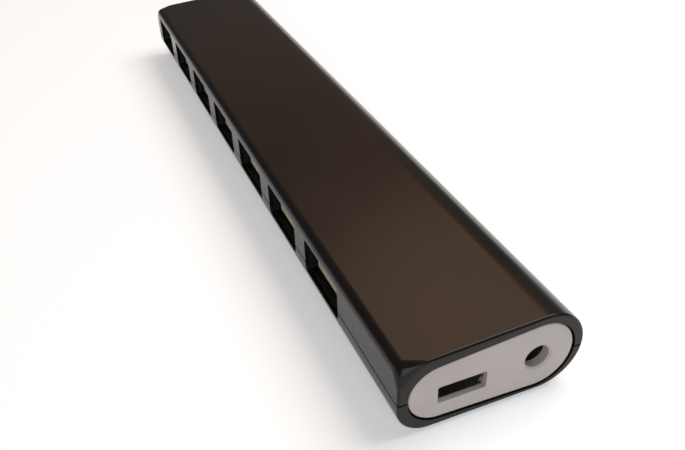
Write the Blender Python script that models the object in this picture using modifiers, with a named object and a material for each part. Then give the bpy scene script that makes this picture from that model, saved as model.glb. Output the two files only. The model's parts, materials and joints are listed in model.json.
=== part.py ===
"""Slim seven-port USB hub bar, as an assembly of separate pieces.

Metres, +Z up. The length runs along X with the socket end plate at +X, the row of
ports faces -Y, and the bar stands on its rubber feet at Z = 0, centred on X and Y.
Inside, a circuit board carries seven USB-A sockets, a mini-B socket and a power jack.
The sprung contacts of the sockets are the pieces that move.
"""
import math

import bmesh
import bpy
from mathutils import Matrix, Vector

MM = 0.001

# Case
DEPTH = 27.9 * MM  # port face to the back of the rear curve
HEIGHT = 13.1 * MM  # of the case alone, at its rear, where the top is highest
TOP_SLOPE = math.radians(2.8)  # the top falls towards the ports
WALL = 1.2 * MM
BOTTOM_EDGE_RADIUS = 4.7 * MM  # long lower edge on the port side
TOP_EDGE_RADIUS = 1.5 * MM  # long upper edge on the port side
END_EDGE_RADIUS = 0.4 * MM
PARTING_HEIGHT = 5.9 * MM  # above the underside of the case
NEAR_MARGIN = 19.65 * MM  # socket end to the first cut-out
FAR_MARGIN = 3.65 * MM  # last cut-out to the far end
LEAST_RADIUS = 0.2 * MM
ARC_STEP = math.radians(9)

# Clearances
FIT_GAP = 0.2 * MM  # between case pieces, and round what stands in an opening
INNER_GAP = 0.3 * MM  # between the pieces inside

# Ports
PORT_COUNT = 7
PORT_SPACING = 5.0 * MM  # between neighbouring shells, with room for a screw boss
PORT_WIDTH = 12.5 * MM  # inside the metal shell
PORT_HEIGHT = 5.12 * MM
PORT_CENTRE_HEIGHT = 7.37 * MM  # above the underside of the case
PORT_RECESS = 0.7 * MM  # shell's front edge behind the port face
SHELL_SHEET = 0.25 * MM
SHELL_DEPTH = 13.4 * MM
LEG_WIDTH = 1.8 * MM
LEG_SETBACK = 3.0 * MM  # front legs behind the shell's front edge
TONGUE_WIDTH = 11.1 * MM
TONGUE_THICKNESS = 1.7 * MM
TONGUE_SETBACK = 1.0 * MM  # behind the shell's front edge
TONGUE_LIFT = 0.35 * MM  # above the shell's floor
BLOCK_DEPTH = 3.6 * MM  # the insulator's rear block
CONTACT_OFFSETS = (-3.5 * MM, -1.0 * MM, 1.0 * MM, 3.5 * MM)
CONTACT_WIDTH = 1.0 * MM
CONTACT_SHEET = 0.2 * MM
CONTACT_RISE = 0.4 * MM  # of the bump above the tongue
CONTACT_BAR = 0.8 * MM  # depth of the carrier that joins the fingers
GROOVE_DEPTH = 0.7 * MM
PIN_WIDTH = 0.6 * MM
PIN_GRIP = 1.2 * MM  # length of a solder pin inside its block
TAIL_LENGTH = 0.5 * MM  # of legs and pins below the board

# End plates
PLATE_RIM_FRONT = 1.6 * MM  # case left round the plate's front lobe
PLATE_RIM_REAR = 1.1 * MM
PLATE_DROP = 0.3 * MM  # plate's centres below the middle of the case
PLATE_FORWARD = 0.5 * MM  # rear lobe and jack nearer the ports than the rear curve's middle
PLATE_INSET = 0.15 * MM  # face behind the case's end
PLATE_THICKNESS = 1.6 * MM
PLATE_WEB = 0.8 * MM  # left in front of the mini-B socket's nose
END_WALL = 1.0 * MM  # case wall that the plate stands against
LEDGE = 1.2 * MM  # width of that wall round its window

# Mini-B socket
MINI_SETBACK = 9.4 * MM  # centre behind the port face
MINI_CENTRE_HEIGHT = 5.3 * MM  # above the underside of the case
MINI_WINDOW_WIDTH = 7.2 * MM
MINI_WINDOW_HEIGHT = 2.9 * MM
MINI_WIDTH = 7.7 * MM
MINI_HEIGHT = 3.9 * MM
MINI_FOOT_WIDTH = 6.5 * MM  # width of the shell's narrow underside
MINI_SHOULDER = 1.5 * MM  # height of the narrow part
MINI_SHEET = 0.3 * MM
MINI_DEPTH = 9.2 * MM
MINI_BLOCK_DEPTH = 2.4 * MM
MINI_TONGUE_WIDTH = 4.6 * MM
MINI_TONGUE_THICKNESS = 0.9 * MM
MINI_TONGUE_DROP = 0.5 * MM  # tongue's top below the inside of the shell
MINI_TONGUE_SETBACK = 1.0 * MM
MINI_CONTACT_COUNT = 5
MINI_CONTACT_PITCH = 0.8 * MM
MINI_CONTACT_WIDTH = 0.3 * MM
MINI_CONTACT_SHEET = 0.15 * MM
MINI_CONTACT_RISE = 0.2 * MM
MINI_GROOVE_DEPTH = 0.4 * MM

# Power socket, in the middle of the plate's rear lobe
JACK_CENTRE_HEIGHT = 5.95 * MM
JACK_HOLE_RADIUS = 1.88 * MM
JACK_CHAMFER = 0.3 * MM
JACK_BORE_RADIUS = 2.05 * MM
JACK_BODY_WIDTH = 6.4 * MM
JACK_BODY_HEIGHT = 5.8 * MM
JACK_NOSE_LENGTH = 1.9 * MM
JACK_LENGTH = 11.4 * MM
JACK_REAR_WALL = 2.4 * MM
JACK_PIN_RADIUS = 0.675 * MM
JACK_PIN_SETBACK = 1.3 * MM  # tip behind the nose
JACK_TAIL_WIDTH = 2.0 * MM
JACK_TAIL_SHEET = 0.3 * MM
LEAF_WIDTH = 1.4 * MM
LEAF_SHEET = 0.25 * MM
LEAF_LENGTH = 6.2 * MM
LEAF_RISE = 0.35 * MM  # of the bump into the bore
LEAF_FLAT = 0.25  # shares of the leaf's length: its straight root, and its bump
LEAF_BUMP = (0.7, 0.8)

# Circuit board
BOARD_TOP_HEIGHT = 3.05 * MM  # above the underside of the case
BOARD_THICKNESS = 1.0 * MM
BOARD_HOLE_RADIUS = 0.55 * MM
RIB_THICKNESS = 1.0 * MM
RIB_LENGTH = 6.0 * MM

# Parts on the board
CHIP_SIDE = 7.0 * MM
CHIP_HEIGHT = 1.4 * MM
CRYSTAL_LENGTH = 10.0 * MM
CRYSTAL_WIDTH = 3.8 * MM
CRYSTAL_HEIGHT = 3.4 * MM
REGULATOR_SIZE = (6.5 * MM, 3.5 * MM, 1.6 * MM)
REGULATOR_TAB = (3.0 * MM, 1.6 * MM, 0.5 * MM)
CAPACITOR_RADIUS = 2.5 * MM
CAPACITOR_HEIGHT = 5.4 * MM

# Screws and feet
SCREW_RADIUS = 1.0 * MM
SCREW_LENGTH = 6.6 * MM
SCREW_HEAD_HEIGHT = 1.1 * MM
SCREW_SLOT = 0.5 * MM
THREAD_GAP = 0.15 * MM
HEAD_WALL = 0.4 * MM  # of a boss round its screw's head
FOOT_RADIUS = 3.5 * MM
FOOT_PROUD = 0.5 * MM
FOOT_RECESS = 0.5 * MM

# Sizes that follow from those above
BASE = FOOT_PROUD  # height of the case's underside
SHELL_WIDTH = PORT_WIDTH + 2 * SHELL_SHEET
SHELL_HEIGHT = PORT_HEIGHT + 2 * SHELL_SHEET
PORT_PITCH = SHELL_WIDTH + PORT_SPACING
CUTOUT_WIDTH = SHELL_WIDTH + 2 * FIT_GAP
CUTOUT_HEIGHT = SHELL_HEIGHT + 2 * FIT_GAP
LENGTH = NEAR_MARGIN + (PORT_COUNT - 1) * PORT_PITCH + CUTOUT_WIDTH + FAR_MARGIN
NEAR_END = LENGTH / 2
FRONT = -DEPTH / 2
REAR_RADIUS = HEIGHT / 2
REAR_CENTRE = (DEPTH / 2 - REAR_RADIUS, BASE + REAR_RADIUS)
REAR_LOBE_Y = REAR_CENTRE[0] - PLATE_FORWARD
PARTING = BASE + PARTING_HEIGHT
PORT_XS = [
    NEAR_END - NEAR_MARGIN - CUTOUT_WIDTH / 2 - index * PORT_PITCH for index in range(PORT_COUNT)
]
PORT_Z = BASE + PORT_CENTRE_HEIGHT
SHELL_FRONT = FRONT + PORT_RECESS
SHELL_REAR = SHELL_FRONT + SHELL_DEPTH
SHELL_FLOOR = PORT_Z - PORT_HEIGHT / 2
BOARD_TOP = BASE + BOARD_TOP_HEIGHT
BOARD_BOTTOM = BOARD_TOP - BOARD_THICKNESS
TAIL_Z = BOARD_BOTTOM - TAIL_LENGTH
REBATE = PLATE_INSET + PLATE_THICKNESS + FIT_GAP
CAVITY_END = NEAR_END - REBATE - END_WALL
BOARD_END = CAVITY_END - INNER_GAP
PLATE_FACE = NEAR_END - PLATE_INSET

BLOCK_REAR = SHELL_REAR - SHELL_SHEET - INNER_GAP
BLOCK_FRONT = BLOCK_REAR - BLOCK_DEPTH
BLOCK_TOP = SHELL_FLOOR + PORT_HEIGHT - INNER_GAP
BLOCK_BOTTOM = BOARD_TOP + INNER_GAP
PIN_Y = BLOCK_REAR - BLOCK_DEPTH / 2
TONGUE_FRONT = SHELL_FRONT + TONGUE_SETBACK
TONGUE_BOTTOM = SHELL_FLOOR + TONGUE_LIFT
TONGUE_TOP = TONGUE_BOTTOM + TONGUE_THICKNESS
GROOVE_WIDTH = CONTACT_WIDTH + 2 * FIT_GAP
CONTACT_SPREAD = CONTACT_OFFSETS[-1] - CONTACT_OFFSETS[0] + CONTACT_WIDTH
CONTACT_ROOT_Z = TONGUE_TOP - GROOVE_DEPTH + FIT_GAP + CONTACT_SHEET / 2
CONTACT_PIVOT = (BLOCK_FRONT, CONTACT_ROOT_Z)
FRONT_LEG_Y = SHELL_FRONT + LEG_SETBACK
REAR_LEG_Y = SHELL_REAR - SHELL_SHEET - LEG_WIDTH

MINI_CENTRE_Y = FRONT + MINI_SETBACK
MINI_Z = BASE + MINI_CENTRE_HEIGHT
MINI_NOSE_X = PLATE_FACE - PLATE_WEB - INNER_GAP
MINI_REAR = MINI_NOSE_X - MINI_DEPTH
MINI_BLOCK_FRONT = MINI_REAR + MINI_SHEET + INNER_GAP + MINI_BLOCK_DEPTH
MINI_TONGUE_TOP = MINI_Z + MINI_HEIGHT / 2 - MINI_SHEET - MINI_TONGUE_DROP
MINI_TONGUE_BOTTOM = MINI_TONGUE_TOP - MINI_TONGUE_THICKNESS
MINI_TONGUE_FRONT = MINI_NOSE_X - MINI_TONGUE_SETBACK
MINI_ROOT_Z = MINI_TONGUE_BOTTOM + MINI_GROOVE_DEPTH - FIT_GAP - MINI_CONTACT_SHEET / 2

JACK_CENTRE_Y = REAR_LOBE_Y
JACK_Z = BASE + JACK_CENTRE_HEIGHT
JACK_NOSE_X = PLATE_FACE - PLATE_THICKNESS - INNER_GAP
JACK_REAR = JACK_NOSE_X - JACK_LENGTH
JACK_BOTTOM = BOARD_TOP + INNER_GAP
JACK_TAIL_X = JACK_REAR - FIT_GAP - JACK_TAIL_SHEET / 2
LEAF_ROOT_X = JACK_REAR + JACK_REAR_WALL + LEAF_SHEET
LEAF_BORE_Z = JACK_Z - JACK_BORE_RADIUS

BOSS_RADIUS = PORT_SPACING / 2 - FIT_GAP
SCREW_HEAD_RADIUS = BOSS_RADIUS - HEAD_WALL - FIT_GAP
BOSS_FRONT_Y = (FRONT_LEG_Y + LEG_WIDTH + REAR_LEG_Y) / 2
BOSS_REAR_Y = SHELL_REAR + 2 * INNER_GAP + BOSS_RADIUS
BOSS_NEAR_X = (PORT_XS[0] + SHELL_WIDTH / 2 + JACK_TAIL_X) / 2
BOSS_FAR_X = (PORT_XS[-2] + PORT_XS[-1]) / 2
BOSSES = [(x, y) for x in (BOSS_NEAR_X, BOSS_FAR_X) for y in (BOSS_FRONT_Y, BOSS_REAR_Y)]
HEAD_BOTTOM = BASE + FOOT_RECESS + FIT_GAP
HEAD_TOP = HEAD_BOTTOM + SCREW_HEAD_HEIGHT
SCREW_TOP = HEAD_TOP + SCREW_LENGTH


# ---------------------------------------------------------------- outlines

def arc(centre, radius, start, end):
    """Points on an arc between two angles, both ends included."""
    steps = max(2, math.ceil(abs(end - start) / ARC_STEP))
    angles = [start + (end - start) * step / steps for step in range(steps + 1)]
    return [(centre[0] + radius * math.cos(a), centre[1] + radius * math.sin(a)) for a in angles]


def top_height(y, inset=0.0):
    """Height of the sloping top at a depth y, moved inwards by an inset."""
    rise = (REAR_RADIUS - inset) + (y - REAR_CENTRE[0]) * math.sin(TOP_SLOPE)
    return REAR_CENTRE[1] + rise / math.cos(TOP_SLOPE)


def case_section(inset):
    """The case's outline in Y and Z: three rounded edges, moved inwards by an inset."""
    low = max(BOTTOM_EDGE_RADIUS - inset, LEAST_RADIUS)
    high = max(TOP_EDGE_RADIUS - inset, LEAST_RADIUS)
    low_centre = (FRONT + inset + low, BASE + inset + low)
    high_y = FRONT + inset + high
    high_centre = (high_y, top_height(high_y, inset + high))
    top_angle = math.pi / 2 + TOP_SLOPE
    return (
        arc(low_centre, low, 1.5 * math.pi, math.pi)
        + arc(high_centre, high, math.pi, top_angle)
        + arc(REAR_CENTRE, REAR_RADIUS - inset, top_angle, 0.0)
        + arc(REAR_CENTRE, REAR_RADIUS - inset, 0.0, -math.pi / 2)[1:]
    )


def cavity_depth_at(z, side):
    """How far the cavity reaches in Y at a height low in the case: side -1 front, 1 rear."""
    if side > 0:
        radius = REAR_RADIUS - WALL
        return REAR_CENTRE[0] + math.sqrt(radius ** 2 - (z - REAR_CENTRE[1]) ** 2)
    radius = max(BOTTOM_EDGE_RADIUS - WALL, LEAST_RADIUS)
    below = max(BASE + WALL + radius - z, 0.0)
    return FRONT + WALL + radius - math.sqrt(radius ** 2 - below ** 2)


def plate_section(grow):
    """An end plate's outline: a small and a large lobe joined by straight edges."""
    front_top = top_height(FRONT + REAR_RADIUS)
    front_radius = (front_top - BASE) / 2 - PLATE_RIM_FRONT
    rear_radius = REAR_RADIUS - PLATE_RIM_REAR
    front_centre = Vector((
        FRONT + PLATE_RIM_FRONT + front_radius,
        (front_top + BASE) / 2 - PLATE_DROP,
    ))
    rear_centre = Vector((REAR_LOBE_Y, REAR_CENTRE[1] - PLATE_DROP))
    across = rear_centre - front_centre
    lean = math.atan2(across.y, across.x)
    spread = math.acos((front_radius - rear_radius) / across.length)
    return (
        arc(front_centre, front_radius + grow, lean + spread, lean - spread + 2 * math.pi)
        + arc(rear_centre, rear_radius + grow, lean - spread, lean + spread)
    )


def strip_section(points, thickness):
    """The outline of a thin bent strip that follows a line of points."""
    left, right = [], []
    for index, point in enumerate(points):
        before = Vector(points[max(index - 1, 0)])
        after = Vector(points[min(index + 1, len(points) - 1)])
        along = (after - before).normalized()
        normal = Vector((-along.y, along.x)) * thickness / 2
        left.append(tuple(Vector(point) + normal))
        right.append(tuple(Vector(point) - normal))
    return left + right[::-1]


# ---------------------------------------------------------------- solids

def add_box(bm, low, high):
    """Add a box between two corners."""
    size = [b - a for a, b in zip(low, high)]
    middle = [(a + b) / 2 for a, b in zip(low, high)]
    place = Matrix.Translation(middle) @ Matrix.Diagonal((*size, 1.0))
    bmesh.ops.create_cube(bm, size=1.0, matrix=place)


def add_block(bm, centre, size):
    """Add a box by its centre and size in X and Y, standing on the centre's height."""
    x, y, z = centre
    add_box(bm, (x - size[0] / 2, y - size[1] / 2, z), (x + size[0] / 2, y + size[1] / 2, z + size[2]))


def add_turned(bm, start, axis, length, radius, end_radius=None, segments=24):
    """Add a cylinder or cone from a start point along an axis, X or Z."""
    turn = Matrix.Rotation(math.pi / 2, 4, "Y") if axis == "X" else Matrix.Identity(4)
    middle = Vector(start) + turn.to_3x3() @ Vector((0, 0, length / 2))
    bmesh.ops.create_cone(
        bm,
        cap_ends=True,
        segments=segments,
        radius1=radius,
        radius2=radius if end_radius is None else end_radius,
        depth=length,
        matrix=Matrix.Translation(middle) @ turn,
    )


def add_prism(bm, outline, low, high, axis="X"):
    """Add a flat outline drawn out between two places along an axis."""
    curve = bpy.data.curves.new("outline", "CURVE")
    curve.dimensions = "2D"
    curve.fill_mode = "BOTH"
    curve.extrude = (high - low) / 2 / MM
    spline = curve.splines.new("POLY")
    spline.points.add(len(outline) - 1)
    for point, (a, b) in zip(spline.points, outline):
        point.co = (a / MM, b / MM, 0.0, 1.0)
    spline.use_cyclic_u = True
    drawn = bpy.data.objects.new("outline", curve)
    bpy.context.scene.collection.objects.link(drawn)
    graph = bpy.context.evaluated_depsgraph_get()
    mesh = bpy.data.meshes.new_from_object(drawn.evaluated_get(graph))
    bpy.data.objects.remove(drawn)
    bpy.data.curves.remove(curve)
    if axis == "X":
        columns = ((0, 1, 0), (0, 0, 1), (1, 0, 0))
        middle = Vector(((low + high) / 2, 0, 0))
    elif axis == "Y":
        columns = ((1, 0, 0), (0, 0, 1), (0, -1, 0))
        middle = Vector((0, (low + high) / 2, 0))
    else:
        columns = ((1, 0, 0), (0, 1, 0), (0, 0, 1))
        middle = Vector((0, 0, (low + high) / 2))
    turn = Matrix(columns).transposed().to_4x4()
    mesh.transform(Matrix.Translation(middle) @ turn @ Matrix.Scale(MM, 4))
    whole = bmesh.new()
    whole.from_mesh(mesh)
    bmesh.ops.remove_doubles(whole, verts=whole.verts, dist=0.001 * MM)
    bmesh.ops.dissolve_limit(
        whole, angle_limit=math.radians(0.5), verts=whole.verts, edges=whole.edges
    )
    bmesh.ops.recalc_face_normals(whole, faces=whole.faces)
    whole.to_mesh(mesh)
    whole.free()
    bm.from_mesh(mesh)
    bpy.data.meshes.remove(mesh)


def make_object(name, bm, collection, finish=None, origin=(0.0, 0.0, 0.0)):
    """Turn a bmesh drawn in place into an object whose origin is where it is asked for."""
    mesh = bpy.data.meshes.new(name)
    bmesh.ops.translate(bm, verts=bm.verts, vec=-Vector(origin))
    bm.to_mesh(mesh)
    bm.free()
    made = bpy.data.objects.new(name, mesh)
    made.location = origin
    if finish is not None:
        mesh.materials.append(finish)
    collection.objects.link(made)
    return made


def piece(name, bm, finish, origin=(0.0, 0.0, 0.0)):
    """A piece of the hub."""
    return make_object(name, bm, PIECES, finish, origin)


def cutter(name, bm):
    """A helper shape that cuts or joins, and isn't part of the hub."""
    made = make_object(name, bm, CUTTERS)
    made.hide_render = True
    made.display_type = "WIRE"
    return made


def apply_shape(target, helper, operation):
    """Cut a helper shape out of a piece, or join it on."""
    modifier = target.modifiers.new(helper.name, "BOOLEAN")
    modifier.operation = operation
    modifier.solver = "EXACT"
    modifier.object = helper


def smooth(target):
    """Shade the round faces smooth."""
    target.data.shade_smooth()
    target.data.set_sharp_from_angle(angle=math.radians(30))


def material(name, colour, roughness, metallic=0.0):
    """One plain finish."""
    made = bpy.data.materials.new(name)
    made.use_nodes = True
    shader = made.node_tree.nodes["Principled BSDF"]
    shader.inputs["Base Color"].default_value = (*colour, 1.0)
    shader.inputs["Roughness"].default_value = roughness
    shader.inputs["Metallic"].default_value = metallic
    return made


# ---------------------------------------------------------------- case

def port_openings():
    """The seven openings in the port face."""
    bm = bmesh.new()
    for x in PORT_XS:
        add_box(
            bm,
            (x - CUTOUT_WIDTH / 2, FRONT - WALL, PORT_Z - CUTOUT_HEIGHT / 2),
            (x + CUTOUT_WIDTH / 2, FRONT + 2 * WALL, PORT_Z + CUTOUT_HEIGHT / 2),
        )
    return cutter("port_openings", bm)


def end_rebates():
    """The rebates for the two end plates, open to the ends."""
    bm = bmesh.new()
    outline = plate_section(FIT_GAP)
    add_prism(bm, outline, NEAR_END - REBATE, NEAR_END + WALL)
    add_prism(bm, outline, -NEAR_END - WALL, -NEAR_END + REBATE)
    return cutter("end_rebates", bm)


def hollow():
    """The inside of the case, with the windows in its two end walls."""
    bm = bmesh.new()
    add_prism(bm, case_section(WALL), -CAVITY_END, CAVITY_END)
    return cutter("hollow", bm)


def end_windows():
    """The windows in the case's end walls, behind the plates."""
    bm = bmesh.new()
    outline = plate_section(-LEDGE)
    reach = END_WALL + REBATE / 2
    add_prism(bm, outline, CAVITY_END - END_WALL, CAVITY_END + reach)
    add_prism(bm, outline, -CAVITY_END - reach, -CAVITY_END + END_WALL)
    return cutter("end_windows", bm)


def half_space(name, low, high):
    """A large slab that removes everything between two heights."""
    bm = bmesh.new()
    reach = LENGTH
    add_box(bm, (-reach, -reach, low), (reach, reach, high))
    return cutter(name, bm)


def upper_bosses():
    """The four screw bosses of the top cover, up into its sloping roof."""
    bm = bmesh.new()
    low = PARTING - WALL
    for x, y in BOSSES:
        high = top_height(y, WALL / 2)
        add_turned(bm, (x, y, low), "Z", high - low, BOSS_RADIUS)
    return cutter("upper_bosses", bm)


def lower_bosses():
    """The four screw columns of the bottom cover, up from its floor."""
    bm = bmesh.new()
    low = BASE + WALL / 2
    for x, y in BOSSES:
        add_turned(bm, (x, y, low), "Z", PARTING + WALL - low, BOSS_RADIUS)
    return cutter("lower_bosses", bm)


def screw_holes(low, high, name):
    """The holes that the four screws run in."""
    bm = bmesh.new()
    for x, y in BOSSES:
        add_turned(bm, (x, y, low), "Z", high - low, SCREW_RADIUS + THREAD_GAP, segments=16)
    return cutter(name, bm)


def case_shell(name, finish):
    """The whole outer form, before it is hollowed and split."""
    bm = bmesh.new()
    add_prism(bm, case_section(0.0), -NEAR_END, NEAR_END)
    shell = piece(name, bm, finish)
    edges = shell.modifiers.new("end_edges", "BEVEL")
    edges.width = END_EDGE_RADIUS
    edges.segments = 2
    edges.limit_method = "ANGLE"
    edges.angle_limit = math.radians(60)
    return shell


def make_top_cover(finish, inside, openings, rebates, windows):
    """Upper half of the case, with the upper part of the openings and the screw bosses."""
    cover = case_shell("top_cover", finish)
    low = PARTING + FIT_GAP / 2
    apply_shape(cover, inside, "DIFFERENCE")
    apply_shape(cover, upper_bosses(), "UNION")
    apply_shape(cover, half_space("below_parting", BASE - HEIGHT, low), "DIFFERENCE")
    apply_shape(cover, openings, "DIFFERENCE")
    apply_shape(cover, rebates, "DIFFERENCE")
    apply_shape(cover, windows, "DIFFERENCE")
    apply_shape(cover, screw_holes(low - WALL, SCREW_TOP + INNER_GAP, "upper_holes"), "DIFFERENCE")
    smooth(cover)
    return cover


def board_ribs():
    """Low ribs on the floor that hold the board up."""
    bm = bmesh.new()
    low = BASE + WALL / 2
    high = BOARD_BOTTOM - INNER_GAP
    middle = (PORT_XS[0] + PORT_XS[-1]) / 2
    for x in (PORT_XS[0], middle, PORT_XS[-1]):
        add_box(
            bm,
            (x - RIB_THICKNESS / 2, REAR_CENTRE[0] - RIB_LENGTH, low),
            (x + RIB_THICKNESS / 2, REAR_CENTRE[0], high),
        )
    return cutter("board_ribs", bm)


def foot_recesses():
    """Shallow round recesses for the feet, with the screw heads' counterbores."""
    bm = bmesh.new()
    for x, y in BOSSES:
        start = (x, y, BASE - FOOT_PROUD)
        add_turned(bm, start, "Z", FOOT_PROUD + FOOT_RECESS, FOOT_RADIUS + FIT_GAP)
    return cutter("foot_recesses", bm)


def head_recesses():
    """Counterbores for the screw heads."""
    bm = bmesh.new()
    for x, y in BOSSES:
        length = HEAD_TOP + FIT_GAP - BASE
        add_turned(bm, (x, y, BASE), "Z", length, SCREW_HEAD_RADIUS + FIT_GAP)
    return cutter("head_recesses", bm)


def make_bottom_cover(finish, inside, openings, rebates, windows):
    """Lower half of the case, with the floor's ribs, screw columns and foot recesses."""
    cover = case_shell("bottom_cover", finish)
    high = PARTING - FIT_GAP / 2
    apply_shape(cover, inside, "DIFFERENCE")
    apply_shape(cover, lower_bosses(), "UNION")
    apply_shape(cover, board_ribs(), "UNION")
    apply_shape(cover, half_space("above_parting", high, BASE + 2 * HEIGHT), "DIFFERENCE")
    apply_shape(cover, openings, "DIFFERENCE")
    apply_shape(cover, rebates, "DIFFERENCE")
    apply_shape(cover, windows, "DIFFERENCE")
    apply_shape(cover, foot_recesses(), "DIFFERENCE")
    apply_shape(cover, head_recesses(), "DIFFERENCE")
    apply_shape(cover, screw_holes(BASE, high + WALL, "lower_holes"), "DIFFERENCE")
    smooth(cover)
    return cover


def mini_outline(inset):
    """The mini-B shell's outline in Y and Z: wide above, narrow below."""
    half = MINI_WIDTH / 2 - inset
    foot = MINI_FOOT_WIDTH / 2 - inset
    low = MINI_Z - MINI_HEIGHT / 2
    shoulder = low + MINI_SHOULDER
    slant = MINI_WIDTH / 2 - MINI_FOOT_WIDTH / 2
    low_edge = low + inset
    high_edge = MINI_Z + MINI_HEIGHT / 2 - inset
    half_points = [(foot, low_edge), (foot, shoulder - slant), (half, shoulder), (half, high_edge)]
    right = [(MINI_CENTRE_Y + y, z) for y, z in half_points]
    left = [(MINI_CENTRE_Y - y, z) for y, z in reversed(half_points)]
    return right + left


def make_socket_end_plate(finish):
    """Near end plate, with the mini-B window and the power socket's hole."""
    bm = bmesh.new()
    add_prism(bm, plate_section(0.0), PLATE_FACE - PLATE_THICKNESS, PLATE_FACE)
    plate = piece("socket_end_plate", bm, finish)
    through = bmesh.new()
    add_box(
        through,
        (PLATE_FACE - 2 * PLATE_THICKNESS, MINI_CENTRE_Y - MINI_WINDOW_WIDTH / 2,
         MINI_Z - MINI_WINDOW_HEIGHT / 2),
        (NEAR_END, MINI_CENTRE_Y + MINI_WINDOW_WIDTH / 2, MINI_Z + MINI_WINDOW_HEIGHT / 2),
    )
    start = (PLATE_FACE - 2 * PLATE_THICKNESS, JACK_CENTRE_Y, JACK_Z)
    add_turned(through, start, "X", 3 * PLATE_THICKNESS, JACK_HOLE_RADIUS)
    apply_shape(plate, cutter("plate_holes", through), "DIFFERENCE")
    mouth = bmesh.new()
    add_turned(
        mouth,
        (PLATE_FACE - JACK_CHAMFER, JACK_CENTRE_Y, JACK_Z),
        "X",
        2 * JACK_CHAMFER,
        JACK_HOLE_RADIUS,
        JACK_HOLE_RADIUS + 2 * JACK_CHAMFER,
    )
    apply_shape(plate, cutter("jack_mouth", mouth), "DIFFERENCE")
    pocket = bmesh.new()
    back = PLATE_FACE - 2 * PLATE_THICKNESS
    add_prism(pocket, mini_outline(-INNER_GAP), back, PLATE_FACE - PLATE_WEB)
    apply_shape(plate, cutter("mini_pocket", pocket), "DIFFERENCE")
    smooth(plate)
    return plate


def make_blank_end_plate(finish):
    """Far end plate, plain."""
    bm = bmesh.new()
    add_prism(bm, plate_section(0.0), -PLATE_FACE, -PLATE_FACE + PLATE_THICKNESS)
    plate = piece("blank_end_plate", bm, finish)
    smooth(plate)
    return plate


# ---------------------------------------------------------------- USB-A sockets

def make_port_shell(index, x, finish):
    """Folded metal shell of one port: open at the front, and below at the rear."""
    bm = bmesh.new()
    low = PORT_Z - SHELL_HEIGHT / 2
    add_box(
        bm,
        (x - SHELL_WIDTH / 2, SHELL_FRONT, low),
        (x + SHELL_WIDTH / 2, SHELL_REAR, low + SHELL_HEIGHT),
    )
    shell = piece(f"usb_shell_{index}", bm, finish)
    legs = bmesh.new()
    for side in (-1, 1):
        inner = x + side * (SHELL_WIDTH / 2 - SHELL_SHEET)
        outer = x + side * SHELL_WIDTH / 2
        for y in (FRONT_LEG_Y, REAR_LEG_Y):
            add_box(
                legs,
                (min(inner, outer), y, TAIL_Z),
                (max(inner, outer), y + LEG_WIDTH, PORT_Z),
            )
    apply_shape(shell, cutter(f"shell_legs_{index}", legs), "UNION")
    room = bmesh.new()
    add_box(
        room,
        (x - PORT_WIDTH / 2, SHELL_FRONT - WALL, SHELL_FLOOR),
        (x + PORT_WIDTH / 2, SHELL_REAR - SHELL_SHEET, SHELL_FLOOR + PORT_HEIGHT),
    )
    apply_shape(shell, cutter(f"shell_room_{index}", room), "DIFFERENCE")
    below = bmesh.new()
    add_box(
        below,
        (x - PORT_WIDTH / 2, BLOCK_FRONT - INNER_GAP, low - SHELL_SHEET),
        (x + PORT_WIDTH / 2, SHELL_REAR - SHELL_SHEET, SHELL_FLOOR + SHELL_SHEET),
    )
    apply_shape(shell, cutter(f"shell_underside_{index}", below), "DIFFERENCE")
    return shell


def make_port_tongue(index, x, finish):
    """Insulator of one port: rear block and tongue, grooved for the contacts."""
    bm = bmesh.new()
    half_block = PORT_WIDTH / 2 - INNER_GAP
    add_box(bm, (x - half_block, BLOCK_FRONT, BLOCK_BOTTOM), (x + half_block, BLOCK_REAR, BLOCK_TOP))
    tongue = piece(f"usb_tongue_{index}", bm, finish)
    blade = bmesh.new()
    add_box(
        blade,
        (x - TONGUE_WIDTH / 2, TONGUE_FRONT, TONGUE_BOTTOM),
        (x + TONGUE_WIDTH / 2, BLOCK_FRONT + BLOCK_DEPTH / 3, TONGUE_TOP),
    )
    apply_shape(tongue, cutter(f"tongue_blade_{index}", blade), "UNION")
    grooves = bmesh.new()
    for offset in CONTACT_OFFSETS:
        left, right = x + offset - GROOVE_WIDTH / 2, x + offset + GROOVE_WIDTH / 2
        add_box(
            grooves,
            (left, TONGUE_FRONT + CONTACT_SHEET, TONGUE_TOP - GROOVE_DEPTH),
            (right, BLOCK_FRONT - CONTACT_BAR / 2, TONGUE_TOP + WALL),
        )
    apply_shape(tongue, cutter(f"contact_grooves_{index}", grooves), "DIFFERENCE")
    pocket = bmesh.new()
    reach = CONTACT_SPREAD / 2 + FIT_GAP
    add_box(
        pocket,
        (x - reach, BLOCK_FRONT - CONTACT_BAR, TONGUE_TOP - GROOVE_DEPTH),
        (x + reach, BLOCK_FRONT + CONTACT_BAR + INNER_GAP, TONGUE_TOP + FIT_GAP),
    )
    apply_shape(tongue, cutter(f"carrier_pocket_{index}", pocket), "DIFFERENCE")
    slot = bmesh.new()
    half_depth = CONTACT_SHEET / 2 + FIT_GAP
    add_box(
        slot,
        (x - reach, PIN_Y - half_depth, BOARD_TOP),
        (x + reach, PIN_Y + half_depth, BLOCK_BOTTOM + PIN_GRIP + FIT_GAP),
    )
    apply_shape(tongue, cutter(f"pin_slot_{index}", slot), "DIFFERENCE")
    return tongue


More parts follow.
